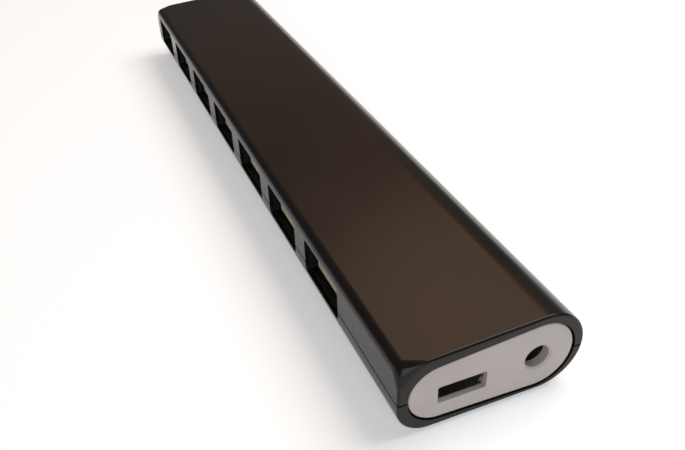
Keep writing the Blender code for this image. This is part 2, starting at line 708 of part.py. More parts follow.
def make_port_contacts(index, x, finish):
    """The four sprung fingers of one port on their carrier, which dip about their roots."""
    bump_z = TONGUE_TOP + CONTACT_RISE - CONTACT_SHEET / 2
    tip_y = TONGUE_FRONT + CONTACT_SHEET + 2 * FIT_GAP
    line = [
        (BLOCK_FRONT + CONTACT_BAR / 2, CONTACT_ROOT_Z),
        (BLOCK_FRONT - CONTACT_BAR, CONTACT_ROOT_Z),
        (tip_y + 2 * CONTACT_WIDTH, bump_z),
        (tip_y + CONTACT_WIDTH, bump_z),
        (tip_y, TONGUE_TOP + CONTACT_SHEET / 2),
    ]
    outline = strip_section(line, CONTACT_SHEET)
    half_sheet = CONTACT_SHEET / 2
    bm = bmesh.new()
    add_box(
        bm,
        (x - CONTACT_SPREAD / 2, BLOCK_FRONT, CONTACT_ROOT_Z - half_sheet),
        (x + CONTACT_SPREAD / 2, BLOCK_FRONT + CONTACT_BAR, CONTACT_ROOT_Z + half_sheet),
    )
    contacts = piece(f"usb_contacts_{index}", bm, finish, (x, *CONTACT_PIVOT))
    fingers = bmesh.new()
    for offset in CONTACT_OFFSETS:
        add_prism(fingers, outline, x + offset - CONTACT_WIDTH / 2, x + offset + CONTACT_WIDTH / 2)
    apply_shape(contacts, cutter(f"contact_fingers_{index}", fingers), "UNION")
    return contacts


def make_port_pins(index, x, finish):
    """The four solder pins of one port on their carrier, from its block through the board."""
    bm = bmesh.new()
    size = (CONTACT_SPREAD, CONTACT_SHEET, PIN_GRIP / 2)
    add_block(bm, (x, PIN_Y, BLOCK_BOTTOM + PIN_GRIP / 2), size)
    pins = piece(f"usb_pins_{index}", bm, finish)
    tails = bmesh.new()
    size = (PIN_WIDTH, CONTACT_SHEET, BLOCK_BOTTOM + PIN_GRIP - TAIL_Z)
    for offset in CONTACT_OFFSETS:
        add_block(tails, (x + offset, PIN_Y, TAIL_Z), size)
    apply_shape(pins, cutter(f"pin_tails_{index}", tails), "UNION")
    return pins


# ---------------------------------------------------------------- mini-B socket

def make_mini_shell(finish):
    """Metal shell of the mini-B socket, open at the front."""
    bm = bmesh.new()
    add_prism(bm, mini_outline(0.0), MINI_REAR, MINI_NOSE_X)
    shell = piece("mini_usb_shell", bm, finish)
    room = bmesh.new()
    add_prism(room, mini_outline(MINI_SHEET), MINI_REAR + MINI_SHEET, MINI_NOSE_X + WALL)
    apply_shape(shell, cutter("mini_room", room), "DIFFERENCE")
    return shell


def make_mini_tongue(finish):
    """Insulator of the mini-B socket: rear block and a thin tongue near the top."""
    bm = bmesh.new()
    add_prism(
        bm, mini_outline(MINI_SHEET + INNER_GAP), MINI_REAR + MINI_SHEET + INNER_GAP, MINI_BLOCK_FRONT
    )
    tongue = piece("mini_usb_tongue", bm, finish)
    half = MINI_TONGUE_WIDTH / 2
    blade = bmesh.new()
    add_box(
        blade,
        (MINI_BLOCK_FRONT - MINI_BLOCK_DEPTH / 2, MINI_CENTRE_Y - half, MINI_TONGUE_BOTTOM),
        (MINI_TONGUE_FRONT, MINI_CENTRE_Y + half, MINI_TONGUE_TOP),
    )
    apply_shape(tongue, cutter("mini_blade", blade), "UNION")
    groove = bmesh.new()
    reach = (MINI_CONTACT_COUNT - 1) * MINI_CONTACT_PITCH / 2 + MINI_CONTACT_WIDTH / 2 + FIT_GAP
    low = MINI_ROOT_Z - MINI_CONTACT_SHEET / 2 - FIT_GAP
    add_box(
        groove,
        (MINI_BLOCK_FRONT - MINI_BLOCK_DEPTH / 2, MINI_CENTRE_Y - reach, low),
        (MINI_TONGUE_FRONT - MINI_CONTACT_SHEET, MINI_CENTRE_Y + reach,
         MINI_TONGUE_BOTTOM + MINI_GROOVE_DEPTH),
    )
    apply_shape(tongue, cutter("mini_groove", groove), "DIFFERENCE")
    return tongue


def make_mini_contacts(finish):
    """The five sprung fingers under the mini-B tongue, on their carrier."""
    root_x = MINI_BLOCK_FRONT - MINI_BLOCK_DEPTH / 2 + FIT_GAP
    tip_x = MINI_TONGUE_FRONT - MINI_CONTACT_SHEET - 2 * FIT_GAP
    bump_z = MINI_TONGUE_BOTTOM - MINI_CONTACT_RISE + MINI_CONTACT_SHEET / 2
    line = [
        (root_x + FIT_GAP, MINI_ROOT_Z),
        (MINI_BLOCK_FRONT + FIT_GAP, MINI_ROOT_Z),
        (tip_x - 3 * MINI_CONTACT_WIDTH, bump_z),
        (tip_x, MINI_TONGUE_BOTTOM),
    ]
    outline = strip_section(line, MINI_CONTACT_SHEET)
    half_sheet = MINI_CONTACT_SHEET / 2
    reach = ((MINI_CONTACT_COUNT - 1) * MINI_CONTACT_PITCH + MINI_CONTACT_WIDTH) / 2
    bm = bmesh.new()
    add_box(
        bm,
        (root_x, MINI_CENTRE_Y - reach, MINI_ROOT_Z - half_sheet),
        (MINI_BLOCK_FRONT - FIT_GAP, MINI_CENTRE_Y + reach, MINI_ROOT_Z + half_sheet),
    )
    pivot = (MINI_BLOCK_FRONT, MINI_CENTRE_Y, MINI_ROOT_Z)
    contacts = piece("mini_usb_contacts", bm, finish, pivot)
    fingers = bmesh.new()
    for index in range(MINI_CONTACT_COUNT):
        y = MINI_CENTRE_Y + (index - (MINI_CONTACT_COUNT - 1) / 2) * MINI_CONTACT_PITCH
        add_prism(fingers, outline, y - MINI_CONTACT_WIDTH / 2, y + MINI_CONTACT_WIDTH / 2, "Y")
    apply_shape(contacts, cutter("mini_fingers", fingers), "UNION")
    return contacts


# ---------------------------------------------------------------- power socket

def make_jack_body(finish):
    """Moulded body of the power socket, with a round nose and a slot for its leaf."""
    bm = bmesh.new()
    block_front = JACK_NOSE_X - JACK_NOSE_LENGTH
    half = JACK_BODY_WIDTH / 2
    add_box(
        bm,
        (JACK_REAR, JACK_CENTRE_Y - half, JACK_BOTTOM),
        (block_front, JACK_CENTRE_Y + half, JACK_Z + JACK_BODY_HEIGHT / 2),
    )
    body = piece("power_jack_body", bm, finish)
    nose = bmesh.new()
    start = (block_front - JACK_NOSE_LENGTH, JACK_CENTRE_Y, JACK_Z)
    nose_radius = JACK_BODY_HEIGHT / 2 - LEAST_RADIUS
    add_turned(nose, start, "X", 2 * JACK_NOSE_LENGTH, nose_radius)
    apply_shape(body, cutter("jack_nose", nose), "UNION")
    bore = bmesh.new()
    bore_start = JACK_REAR + JACK_REAR_WALL
    start = (bore_start, JACK_CENTRE_Y, JACK_Z)
    add_turned(bore, start, "X", JACK_NOSE_X + WALL - bore_start, JACK_BORE_RADIUS)
    apply_shape(body, cutter("jack_bore", bore), "DIFFERENCE")
    pin_hole = bmesh.new()
    add_turned(
        pin_hole,
        (JACK_REAR - WALL, JACK_CENTRE_Y, JACK_Z),
        "X",
        JACK_REAR_WALL + 2 * WALL,
        JACK_PIN_RADIUS + FIT_GAP,
        segments=16,
    )
    apply_shape(body, cutter("jack_pin_hole", pin_hole), "DIFFERENCE")
    slot = bmesh.new()
    half_slot = LEAF_WIDTH / 2 + FIT_GAP
    add_box(
        slot,
        (bore_start - LEAF_SHEET, JACK_CENTRE_Y - half_slot, BOARD_TOP),
        (LEAF_ROOT_X + LEAF_LENGTH + 2 * FIT_GAP, JACK_CENTRE_Y + half_slot, JACK_Z),
    )
    apply_shape(body, cutter("jack_slot", slot), "DIFFERENCE")
    smooth(body)
    return body


def make_jack_pin(finish):
    """Centre pin of the power socket, with its solder tail behind the body."""
    bm = bmesh.new()
    start = (JACK_TAIL_X, JACK_CENTRE_Y, JACK_Z)
    length = JACK_NOSE_X - JACK_PIN_SETBACK - JACK_TAIL_X
    add_turned(bm, start, "X", length, JACK_PIN_RADIUS, segments=16)
    pin = piece("power_jack_pin", bm, finish)
    tail = bmesh.new()
    add_box(
        tail,
        (JACK_TAIL_X - JACK_TAIL_SHEET / 2, JACK_CENTRE_Y - JACK_TAIL_WIDTH / 2, TAIL_Z),
        (JACK_TAIL_X + JACK_TAIL_SHEET / 2, JACK_CENTRE_Y + JACK_TAIL_WIDTH / 2,
         JACK_Z + JACK_TAIL_WIDTH / 2),
    )
    apply_shape(pin, cutter("jack_tail", tail), "UNION")
    smooth(pin)
    return pin


def make_jack_spring(finish):
    """Sprung leaf that presses on the outside of a plug, in the body's slot."""
    root_z = LEAF_BORE_Z - LEAF_SHEET
    bump_z = LEAF_BORE_Z + LEAF_RISE - LEAF_SHEET / 2
    line = [
        (LEAF_ROOT_X, root_z),
        (LEAF_ROOT_X + LEAF_FLAT * LEAF_LENGTH, root_z),
        (LEAF_ROOT_X + LEAF_BUMP[0] * LEAF_LENGTH, bump_z),
        (LEAF_ROOT_X + LEAF_BUMP[1] * LEAF_LENGTH, bump_z),
        (LEAF_ROOT_X + LEAF_LENGTH, LEAF_BORE_Z),
    ]
    bm = bmesh.new()
    add_prism(
        bm,
        strip_section(line, LEAF_SHEET),
        JACK_CENTRE_Y - LEAF_WIDTH / 2,
        JACK_CENTRE_Y + LEAF_WIDTH / 2,
        "Y",
    )
    return piece("power_jack_spring", bm, finish, (LEAF_ROOT_X, JACK_CENTRE_Y, root_z))


# ---------------------------------------------------------------- board

def leg_and_pin_holes():
    """Slots for the shells' legs and round holes for the pins."""
    slots = bmesh.new()
    half_leg = SHELL_SHEET / 2 + INNER_GAP
    for x in PORT_XS:
        for side in (-1, 1):
            leg_x = x + side * (SHELL_WIDTH - SHELL_SHEET) / 2
            for y in (FRONT_LEG_Y, REAR_LEG_Y):
                add_box(
                    slots,
                    (leg_x - half_leg, y - INNER_GAP, BOARD_BOTTOM - WALL),
                    (leg_x + half_leg, y + LEG_WIDTH + INNER_GAP, BOARD_TOP + WALL),
                )
        for offset in CONTACT_OFFSETS:
            start = (x + offset, PIN_Y, BOARD_BOTTOM - WALL)
            length = BOARD_THICKNESS + 2 * WALL
            add_turned(slots, start, "Z", length, BOARD_HOLE_RADIUS, segments=8)
    return cutter("leg_and_pin_holes", slots)


def column_holes():
    """Holes that clear the screw columns."""
    bm = bmesh.new()
    for x, y in BOSSES:
        start = (x, y, BOARD_BOTTOM - WALL)
        add_turned(bm, start, "Z", BOARD_THICKNESS + 2 * WALL, BOSS_RADIUS + INNER_GAP)
    return cutter("column_holes", bm)


def jack_tail_slot():
    """The slot for the power socket's solder tail."""
    bm = bmesh.new()
    half_tail = JACK_TAIL_WIDTH / 2 + INNER_GAP
    half_sheet = JACK_TAIL_SHEET / 2 + INNER_GAP
    add_box(
        bm,
        (JACK_TAIL_X - half_sheet, JACK_CENTRE_Y - half_tail, BOARD_BOTTOM - WALL),
        (JACK_TAIL_X + half_sheet, JACK_CENTRE_Y + half_tail, BOARD_TOP + WALL),
    )
    return cutter("jack_tail_slot", bm)


def make_circuit_board(finish):
    """The board, as wide as the cavity lets it be at its own height."""
    bm = bmesh.new()
    low_front = cavity_depth_at(BOARD_BOTTOM, -1) + INNER_GAP
    low_rear = cavity_depth_at(BOARD_BOTTOM, 1) - INNER_GAP
    add_box(bm, (-BOARD_END, low_front, BOARD_BOTTOM), (BOARD_END, low_rear, BOARD_TOP))
    board = piece("circuit_board", bm, finish)
    for holes in (leg_and_pin_holes(), column_holes(), jack_tail_slot()):
        apply_shape(board, holes, "DIFFERENCE")
    return board


def make_board_parts(chip, can):
    """The chips, crystals, regulator and capacitors behind the sockets."""
    seat = BOARD_TOP + INNER_GAP
    behind = BLOCK_REAR + SHELL_SHEET + 3 * INNER_GAP
    strip_rear = cavity_depth_at(BOARD_BOTTOM, 1) - 2 * INNER_GAP
    middle_y = (behind + strip_rear) / 2
    between = [(a + b) / 2 for a, b in zip(PORT_XS, PORT_XS[1:])]

    for name, x in (("hub_chip_a", PORT_XS[2]), ("hub_chip_b", PORT_XS[4])):
        bm = bmesh.new()
        add_block(bm, (x, middle_y, seat), (CHIP_SIDE, CHIP_SIDE, CHIP_HEIGHT))
        made = piece(name, bm, chip)
        edge = made.modifiers.new("edges", "BEVEL")
        edge.width = CHIP_HEIGHT / 8
        edge.segments = 1

    for name, x in (("crystal_a", PORT_XS[1]), ("crystal_b", PORT_XS[3])):
        reach = (CRYSTAL_LENGTH - CRYSTAL_WIDTH) / 2
        half = math.pi / 2
        outline = (
            arc((x + reach, middle_y), CRYSTAL_WIDTH / 2, -half, half)
            + arc((x - reach, middle_y), CRYSTAL_WIDTH / 2, half, 3 * half)
        )
        bm = bmesh.new()
        add_prism(bm, outline, seat, seat + CRYSTAL_HEIGHT, "Z")
        smooth(piece(name, bm, can))

    bm = bmesh.new()
    add_block(bm, (PORT_XS[0], middle_y, seat), REGULATOR_SIZE)
    regulator = piece("voltage_regulator", bm, chip)
    tab = bmesh.new()
    tab_y = middle_y + (REGULATOR_SIZE[1] + REGULATOR_TAB[1]) / 2 - INNER_GAP
    add_block(tab, (PORT_XS[0], tab_y, seat), REGULATOR_TAB)
    apply_shape(regulator, cutter("regulator_tab", tab), "UNION")

    for name, x in zip("abcd", between):
        bm = bmesh.new()
        add_turned(bm, (x, middle_y, seat), "Z", CAPACITOR_HEIGHT, CAPACITOR_RADIUS, segments=16)
        smooth(piece(f"bulk_capacitor_{name}", bm, can))


# ---------------------------------------------------------------- screws and feet

def make_screw(name, x, y, finish):
    """A pan-head screw with a slot, driven up from below."""
    bm = bmesh.new()
    add_turned(bm, (x, y, HEAD_BOTTOM), "Z", SCREW_HEAD_HEIGHT, SCREW_HEAD_RADIUS)
    screw = piece(name, bm, finish)
    shank = bmesh.new()
    start = (x, y, HEAD_TOP - SCREW_HEAD_HEIGHT / 2)
    add_turned(shank, start, "Z", SCREW_TOP - start[2], SCREW_RADIUS, segments=12)
    apply_shape(screw, cutter(f"{name}_shank", shank), "UNION")
    slot = bmesh.new()
    half = SCREW_SLOT / 2
    deep = HEAD_BOTTOM + SCREW_HEAD_HEIGHT / 2
    reach = 2 * SCREW_HEAD_RADIUS
    add_box(slot, (x - reach, y - half, BASE), (x + reach, y + half, deep))
    apply_shape(screw, cutter(f"{name}_slot", slot), "DIFFERENCE")
    smooth(screw)
    return screw


def make_foot(name, x, y, finish):
    """A round rubber foot, which covers a screw."""
    bm = bmesh.new()
    height = FOOT_PROUD + FOOT_RECESS - FIT_GAP / 2
    add_turned(bm, (x, y, BASE - FOOT_PROUD), "Z", height, FOOT_RADIUS)
    foot = piece(name, bm, finish)
    smooth(foot)
    return foot


# ---------------------------------------------------------------- assembly

for old in list(bpy.data.objects):
    bpy.data.objects.remove(old)

PIECES = bpy.data.collections.new("hub_bar")
CUTTERS = bpy.data.collections.new("cutters")
for group in (PIECES, CUTTERS):
    bpy.context.scene.collection.children.link(group)

gloss_black = material("gloss_black", (0.01, 0.008, 0.0065), 0.24)
plate_grey = material("plate_grey", (0.52, 0.48, 0.46), 0.55)
bright_steel = material("bright_steel", (0.62, 0.61, 0.58), 0.3, 1.0)
dark_steel = material("dark_steel", (0.08, 0.08, 0.085), 0.4, 1.0)
ivory = material("ivory", (0.62, 0.56, 0.40), 0.5)
gilt = material("gilt", (0.75, 0.55, 0.22), 0.3, 1.0)
jack_black = material("jack_black", (0.03, 0.03, 0.03), 0.5)
board_green = material("board_green", (0.02, 0.16, 0.07), 0.5)
chip_black = material("chip_black", (0.03, 0.03, 0.035), 0.6)
can_metal = material("can_metal", (0.7, 0.7, 0.7), 0.35, 1.0)
screw_steel = material("screw_steel", (0.45, 0.45, 0.45), 0.35, 1.0)
foot_rubber = material("foot_rubber", (0.03, 0.03, 0.03), 0.85)

case_cuts = (hollow(), port_openings(), end_rebates(), end_windows())
make_top_cover(gloss_black, *case_cuts)
make_bottom_cover(gloss_black, *case_cuts)
make_socket_end_plate(plate_grey)
make_blank_end_plate(plate_grey)
for number, port_x in enumerate(PORT_XS, start=1):
    make_port_shell(number, port_x, dark_steel)
    make_port_tongue(number, port_x, ivory)
    make_port_contacts(number, port_x, gilt)
    make_port_pins(number, port_x, gilt)
make_mini_shell(bright_steel)
make_mini_tongue(jack_black)
make_mini_contacts(gilt)
make_jack_body(jack_black)
make_jack_pin(bright_steel)
make_jack_spring(bright_steel)
make_circuit_board(board_green)
make_board_parts(chip_black, can_metal)
for place, (boss_x, boss_y) in zip(("near_front", "near_rear", "far_front", "far_rear"), BOSSES):
    make_screw(f"screw_{place}", boss_x, boss_y, screw_steel)
    make_foot(f"foot_{place}", boss_x, boss_y, foot_rubber)
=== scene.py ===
"""Looks of a slim seven-port hub bar in smoked gloss plastic with a pale grey end plate.

Metres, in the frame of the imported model: the length runs along X with the socket end at +X,
the row of ports faces -Y, and the bar stands on its rubber feet at Z = 0.
"""
import json
import math

import bmesh
import bpy
from mathutils import Matrix, Vector


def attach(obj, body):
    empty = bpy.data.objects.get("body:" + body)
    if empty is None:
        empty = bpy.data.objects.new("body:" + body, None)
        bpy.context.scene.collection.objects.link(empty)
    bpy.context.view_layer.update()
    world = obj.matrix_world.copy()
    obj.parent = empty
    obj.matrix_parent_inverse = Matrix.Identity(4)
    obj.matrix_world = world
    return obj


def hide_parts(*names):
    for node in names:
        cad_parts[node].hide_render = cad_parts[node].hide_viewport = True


MM = 0.001
SAME = 1e-6  # metres: two places closer than this are the same
WELD = 1e-7  # metres: corners closer than this are joined
PLANE_SNAP = 1e-8  # metres: corners this close to a cutting plane are on it
FACING = 0.9  # a face looks along an axis when its normal has this much of it
OVERLAP = 1.0 * MM  # how far a joined form reaches into the other
OVERRUN = 0.2 * MM  # how far a shallow cut starts above its surface

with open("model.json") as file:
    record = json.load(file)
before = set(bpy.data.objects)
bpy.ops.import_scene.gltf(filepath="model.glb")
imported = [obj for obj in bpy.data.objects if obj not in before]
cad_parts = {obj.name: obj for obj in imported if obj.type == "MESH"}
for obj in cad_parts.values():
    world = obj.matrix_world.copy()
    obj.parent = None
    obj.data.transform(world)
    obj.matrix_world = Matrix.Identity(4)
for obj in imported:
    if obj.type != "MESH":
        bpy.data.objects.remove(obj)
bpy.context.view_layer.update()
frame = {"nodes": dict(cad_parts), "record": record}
NODES = frame["nodes"]

# Case
FRONT = -13.95 * MM  # port face
NEAR_END = 72.35 * MM  # socket end
BASE = 0.5 * MM  # underside of the case
REAR_CENTRE = (7.4 * MM, 7.05 * MM)  # centre of the rear curve, in Y and Z
REAR_RADIUS = 6.55 * MM
TOP_SLOPE = math.radians(2.8)  # the top falls towards the ports
TOP_EDGE_RADIUS = 1.5 * MM
BOTTOM_EDGE_RADIUS = 4.7 * MM
END_EDGE_RADIUS = 0.4 * MM
CORNER_CUT = (1.6 * MM, 3.0 * MM, 2.4 * MM)  # reach of a top front corner's facet in X, Y and Z
CORNER_RADIUS = 0.9 * MM  # of the facet's edges
WALL = 1.2 * MM
LEAST_RADIUS = 0.2 * MM  # of the cavity's edges
PARTING = 6.4 * MM  # height of the parting line
PARTING_GAP = 0.25 * MM
CAVITY_END = 69.4 * MM  # the cavity ends here, each way from the middle
REBATE = 1.95 * MM  # depth of the seat of an end plate

# Ports
PORT_XS = [(46.0 - 18.0 * index) * MM for index in range(7)]
PORT_Z = 7.87 * MM
CUTOUT = (13.4 * MM, 6.02 * MM)
CUTOUT_CORNER = 0.8 * MM
SHELL = (13.0 * MM, 13.4 * MM, 5.62 * MM)  # width, depth, height
SHELL_FRONT = -13.25 * MM
SHELL_SHEET = 0.25 * MM
SHELL_CORNER = 0.6 * MM
MOUTH_AREA = 20 * MM * MM  # less than a shell's mouth, more than the edge of its sheet
SPRING_OFFSET = 3.0 * MM  # from the middle of a port to each of its two springs
SPRING_HALF = 0.95 * MM  # half the width of a spring
SPRING_YS = (2.9 * MM, 8.3 * MM)  # tip and root, behind the shell's front
SPRING_DIP = 0.55 * MM
WINDOW_HALF = 1.3 * MM  # half the width of the window round a spring
WINDOW_YS = (2.6 * MM, 8.2 * MM)  # behind the shell's front
WINDOW_ZS = (2.0 * MM, 4.0 * MM)  # above the middle of the port
WINDOW_CORNER = 0.3 * MM
LEG_WIDTH = 1.8 * MM
LEG_YS = (-10.25 * MM, -1.9 * MM)  # front of each leg
LEG_FOOT = 2.05 * MM  # height of the legs' lower ends
TONGUE_FRONT = -12.25 * MM
TONGUE = (11.1 * MM, 5.66 * MM, 7.36 * MM)  # width, lowest and highest height
TONGUE_ROUNDING = 0.15 * MM
BLOCK = (11.9 * MM, 3.85 * MM, 10.13 * MM)  # width, lowest and highest height
BLOCK_ROUNDING = 0.2 * MM
BLOCK_YS = (-4.0 * MM, -0.4 * MM)  # front and rear of the block behind the tongue
CONTACT_OFFSETS = (-3.5 * MM, -1.0 * MM, 1.0 * MM, 3.5 * MM)
CONTACT_BAR = 0.8 * MM  # depth of the carrier that joins the four fingers of a port
CONTACT_ROOM = 0.3 * MM  # behind the carrier
GROOVE_START = 0.3 * MM  # behind the tongue's tip
GROOVE_WIDTH = 1.4 * MM
GROOVE_DEPTH = 0.7 * MM

# End plates
PLATE_FACE = 72.2 * MM
PLATE_THICKNESS = 1.6 * MM
PLATE_WEB = 0.8 * MM  # thickness left in front of the mini-B shell's room
PLATE_ROUNDING = 0.25 * MM
PLATE_GAP = 0.2 * MM
LEDGE = 1.2 * MM  # width of the seat behind a plate's edge
FRONT_LOBE = (-7.758 * MM, 6.392 * MM, 4.592 * MM)  # centre in Y and Z, radius
REAR_LOBE = (6.9 * MM, 6.75 * MM, 5.45 * MM)  # the same of the other lobe

# Mini-B socket
MINI_CENTRE = (-4.55 * MM, 5.8 * MM)  # in Y and Z
MINI_WINDOW = (7.2 * MM, 2.9 * MM)
MINI_WINDOW_CORNER = 0.25 * MM
MINI_SHELL = (7.7 * MM, 3.9 * MM)
MINI_CORNER = 0.35 * MM
MINI_ROOM = 0.3 * MM  # round the shell, in the plate
MINI_FOOT = 6.5 * MM  # width of the narrow lower part
MINI_SHOULDER = 1.5 * MM  # height of the narrow lower part
MINI_SHEET = 0.3 * MM
MINI_DEPTH = 9.2 * MM
MINI_NOSE_X = 71.1 * MM

# Power socket
JACK_CENTRE = (6.9 * MM, 6.45 * MM)  # in Y and Z
JACK_HOLE_RADIUS = 1.88 * MM
JACK_MOUTH = 0.3 * MM
JACK_BORE_RADIUS = 2.05 * MM
JACK_WIDTH = 6.4 * MM
JACK_TOP = 9.35 * MM
JACK_BOTTOM = 3.85 * MM
JACK_NOSE_X = 70.3 * MM
JACK_REAR = 58.9 * MM
JACK_NOSE_RADIUS = 2.7 * MM
JACK_NOSE_LENGTH = 1.9 * MM
JACK_REAR_WALL = 2.4 * MM
JACK_ROUNDING = 0.3 * MM
JACK_PIN_RADIUS = 0.875 * MM
LEAF_SLOT_HALF = 0.9 * MM  # half the width of the slot for the spring leaf
LEAF_SLOT_BOTTOM = 3.55 * MM
LEAF_SLOT_FRONT_X = 68.15 * MM
LEAF_SLOT_ROOM = 0.25 * MM  # behind the bore

# Screw columns and feet, in pairs of X and Y
BOSSES = [(x * MM, y * MM) for x in (55.525, -53.0) for y in (-5.175, 3.05)]
BOSS_RADIUS = 2.3 * MM
SCREW_BORE = 1.15 * MM
SCREW_BORE_TOP = 9.2 * MM
SCREW_HEAD_ROOM = 1.9 * MM  # radius of the recess for a screw's head
SCREW_HEAD_TOP = 2.5 * MM
FOOT_RADIUS = 3.5 * MM
FOOT_HEIGHT = 0.9 * MM
FOOT_ROUNDING = 0.2 * MM
FOOT_SEAT_TOP = 1.0 * MM

# Studio
CAMERA_PLACE = (129.66 * MM, -42.92 * MM, 78.97 * MM)
CAMERA_TURN = (math.radians(53.168), math.radians(1.772), math.radians(67.331))
LENS = 39.79
SENSOR_WIDTH = 36.0
FRAME_RISE = 0.0387  # share of the frame's width that the view is raised by
CAMERA_REACH = (1 * MM, 20.0)
LAMPS = (  # name, place, aim, size and watts
    ("key", (0.02, 0.36, 0.58), (0.02, 0.0, 0.01), 0.45, 2.6),
    ("side", (0.60, -0.2, 0.24), (0.07, 0.0, 0.01), 0.45, 1.4),
)
FLOOR_HALF = 4.0
FLOOR_COLOUR = (0.85, 0.88, 0.90)
FLOOR_LIFT = 0.39
ROOM_DIM = 0.12
ROOM_SKIRTING = 0.04
ROOM_GLOW = 2.15
ROOM_HAZE = 0.21  # the glow's wide, faint surround
SKIRTING_BAND = (0.0, 0.12)  # heights of a direction, 0 at the horizon and 1 straight up
GLOW_PLACE = (-0.55, 0.30, 0.76)
GLOW_BAND = (0.945, 1.0)  # closeness of a direction to the middle of the glow
HAZE_BAND = (0.78, 0.88)
GLOW_COLOUR = (1.0, 0.64, 0.45)
WHITE = (1.0, 1.0, 1.0)


# ---------------------------------------------------------------- finishes

class Level:
    """A value that nodes work out: the operators on it add Math nodes."""

    def __init__(self, nodes, socket):
        self.nodes = nodes
        self.socket = socket

    def _math(self, operation, *values):
        return self.nodes.node("ShaderNodeMath", {"operation": operation}, dict(enumerate(values)))

    def __add__(self, other):
        return self._math("ADD", self, other)

    def __rsub__(self, other):
        return self._math("SUBTRACT", other, self)

    def __mul__(self, other):
        return self._math("MULTIPLY", self, other)

    __radd__ = __add__
    __rmul__ = __mul__


class Nodes:
    """The nodes of a material or a room, whose sockets take plain values or what nodes work out."""

    def __init__(self, tree):
        self.tree = tree

    def node(self, kind, settings=None, inputs=None, output=0):
        """Add a node: its settings first, then the values or links of its sockets."""
        made = self.tree.nodes.new(kind)
        for key, value in (settings or {}).items():
            setattr(made, key, value)
        for key, value in (inputs or {}).items():
            self.feed(made.inputs[key], value)
        return Level(self, made.outputs[output])

    def feed(self, socket, value):
        """Link a worked-out value to a socket, or set a plain one."""
        if isinstance(value, Level):
            self.tree.links.new(value.socket, socket)
        else:
            socket.default_value = value

    def ramp(self, level, low, high):
        """Spread the part of a value between two levels over 0 to 1."""
        return self.node(
            "ShaderNodeMapRange", {"interpolation_type": "SMOOTHSTEP"},
            {"Value": level, "From Min": low, "From Max": high},
        )

    def mix(self, factor, first, second):
        """A colour between two others."""
        made = self.tree.nodes.new("ShaderNodeMix")
        made.data_type = "RGBA"
        for name, value in (("Factor_Float", factor), ("A_Color", first), ("B_Color", second)):
            socket = next(s for s in made.inputs if s.identifier == name)
            plain = value if isinstance(value, (Level, float)) else (*value, 1.0)
            self.feed(socket, plain)
        return Level(self, next(s for s in made.outputs if s.identifier == "Result_Color"))


class Finish(Nodes):
    """One material on a plain glossy shader."""

    def __init__(self, name, colour, roughness, metallic=0.0, specular=0.5):
        self.material = bpy.data.materials.new(name)
        self.material.use_nodes = True
        super().__init__(self.material.node_tree)
        self.shader = self.tree.nodes["Principled BSDF"]
        self.set("Base Color", (*colour, 1.0))
        self.set("Roughness", roughness)
        self.set("Metallic", metallic)
        self.set("Specular IOR Level", specular)
        self.place = self.node("ShaderNodeTexCoord", output="Object")

    def set(self, name, value):
        """Give one of the shader's own sockets its value."""
        self.feed(self.shader.inputs[name], value)

    def noise(self, scale, detail=2.0, stretch=(1.0, 1.0, 1.0)):
        """Cloudy variation with about so many lumps to the metre, drawn out if asked."""
        spot = self.node(
            "ShaderNodeMapping", {"vector_type": "POINT"}, {"Vector": self.place, "Scale": stretch}
        )
        return self.node(
            "ShaderNodeTexNoise", None, {"Vector": spot, "Scale": scale, "Detail": detail}
        )

    def relief(self, height, depth, strength=1.0):
        """Turn a height between 0 and 1 into relief of a real depth."""
        self.set("Normal", self.node(
            "ShaderNodeBump", None, {"Height": height, "Distance": depth, "Strength": strength}
        ))


def smoked_gloss():
    """Polished near-black plastic with a warm tint, faint smears and fine scuffs."""
    made = Finish("gloss_black", (0.01, 0.008, 0.0065), 0.2, specular=0.24)
    smears = made.ramp(made.noise(55.0, detail=4.0, stretch=(0.5, 1.0, 1.0)), low=0.4, high=0.75)
    grain = made.noise(2600.0)
    scuffs = made.ramp(made.noise(420.0, detail=3.0, stretch=(0.08, 1.0, 1.0)), low=0.68, high=0.8)
    made.set("Base Color", made.mix(smears, (0.0085, 0.007, 0.0058), (0.012, 0.0098, 0.008)))
    made.set("Roughness", 0.18 + smears * 0.05 + scuffs * 0.12 + grain * 0.03)
    made.relief(grain, depth=0.004 * MM, strength=0.5)
    return made.material


def plate_satin():
    """Pale warm grey plastic with the fine even texture of a sparked mould."""
    made = Finish("plate_grey", (0.52, 0.48, 0.46), 0.55)
    texture = made.noise(5200.0)
    cloud = made.ramp(made.noise(120.0, detail=3.0), low=0.35, high=0.7)
    made.set("Base Color", made.mix(cloud, (0.53, 0.485, 0.462), (0.575, 0.522, 0.495)))
    made.set("Roughness", 0.5 + texture * 0.12)
    made.relief(texture, depth=0.02 * MM, strength=0.6)
    return made.material


def plated_steel(name, colour, roughness, dulled=0.8):
    """Plated sheet with fine rolling lines and a few dull spots."""
    made = Finish(name, colour, roughness, metallic=1.0)
    lines = made.noise(5200.0, stretch=(1.0, 0.04, 1.0))
    dull = made.ramp(made.noise(700.0, detail=3.0), low=0.5, high=0.75)
    darker = tuple(dulled * part for part in colour)
    made.set("Base Color", made.mix(dull, colour, darker))
    made.set("Roughness", roughness + lines * 0.12 + dull * 0.08)
    made.relief(lines, depth=0.006 * MM, strength=0.5)
    return made.material


def moulded(name, colour, roughness, spread=0.12):
    """Plain moulded plastic: slightly uneven in colour, with a fine skin."""
    made = Finish(name, colour, roughness)
    skin = made.noise(3800.0)
    cloud = made.ramp(made.noise(450.0), low=0.35, high=0.7)
    low = tuple((1 - spread) * part for part in colour)
    high = tuple(min((1 + spread) * part, 1.0) for part in colour)
    made.set("Base Color", made.mix(cloud, low, high))
    made.set("Roughness", roughness + skin * 0.1)
    made.relief(skin, depth=0.01 * MM, strength=0.5)
    return made.material


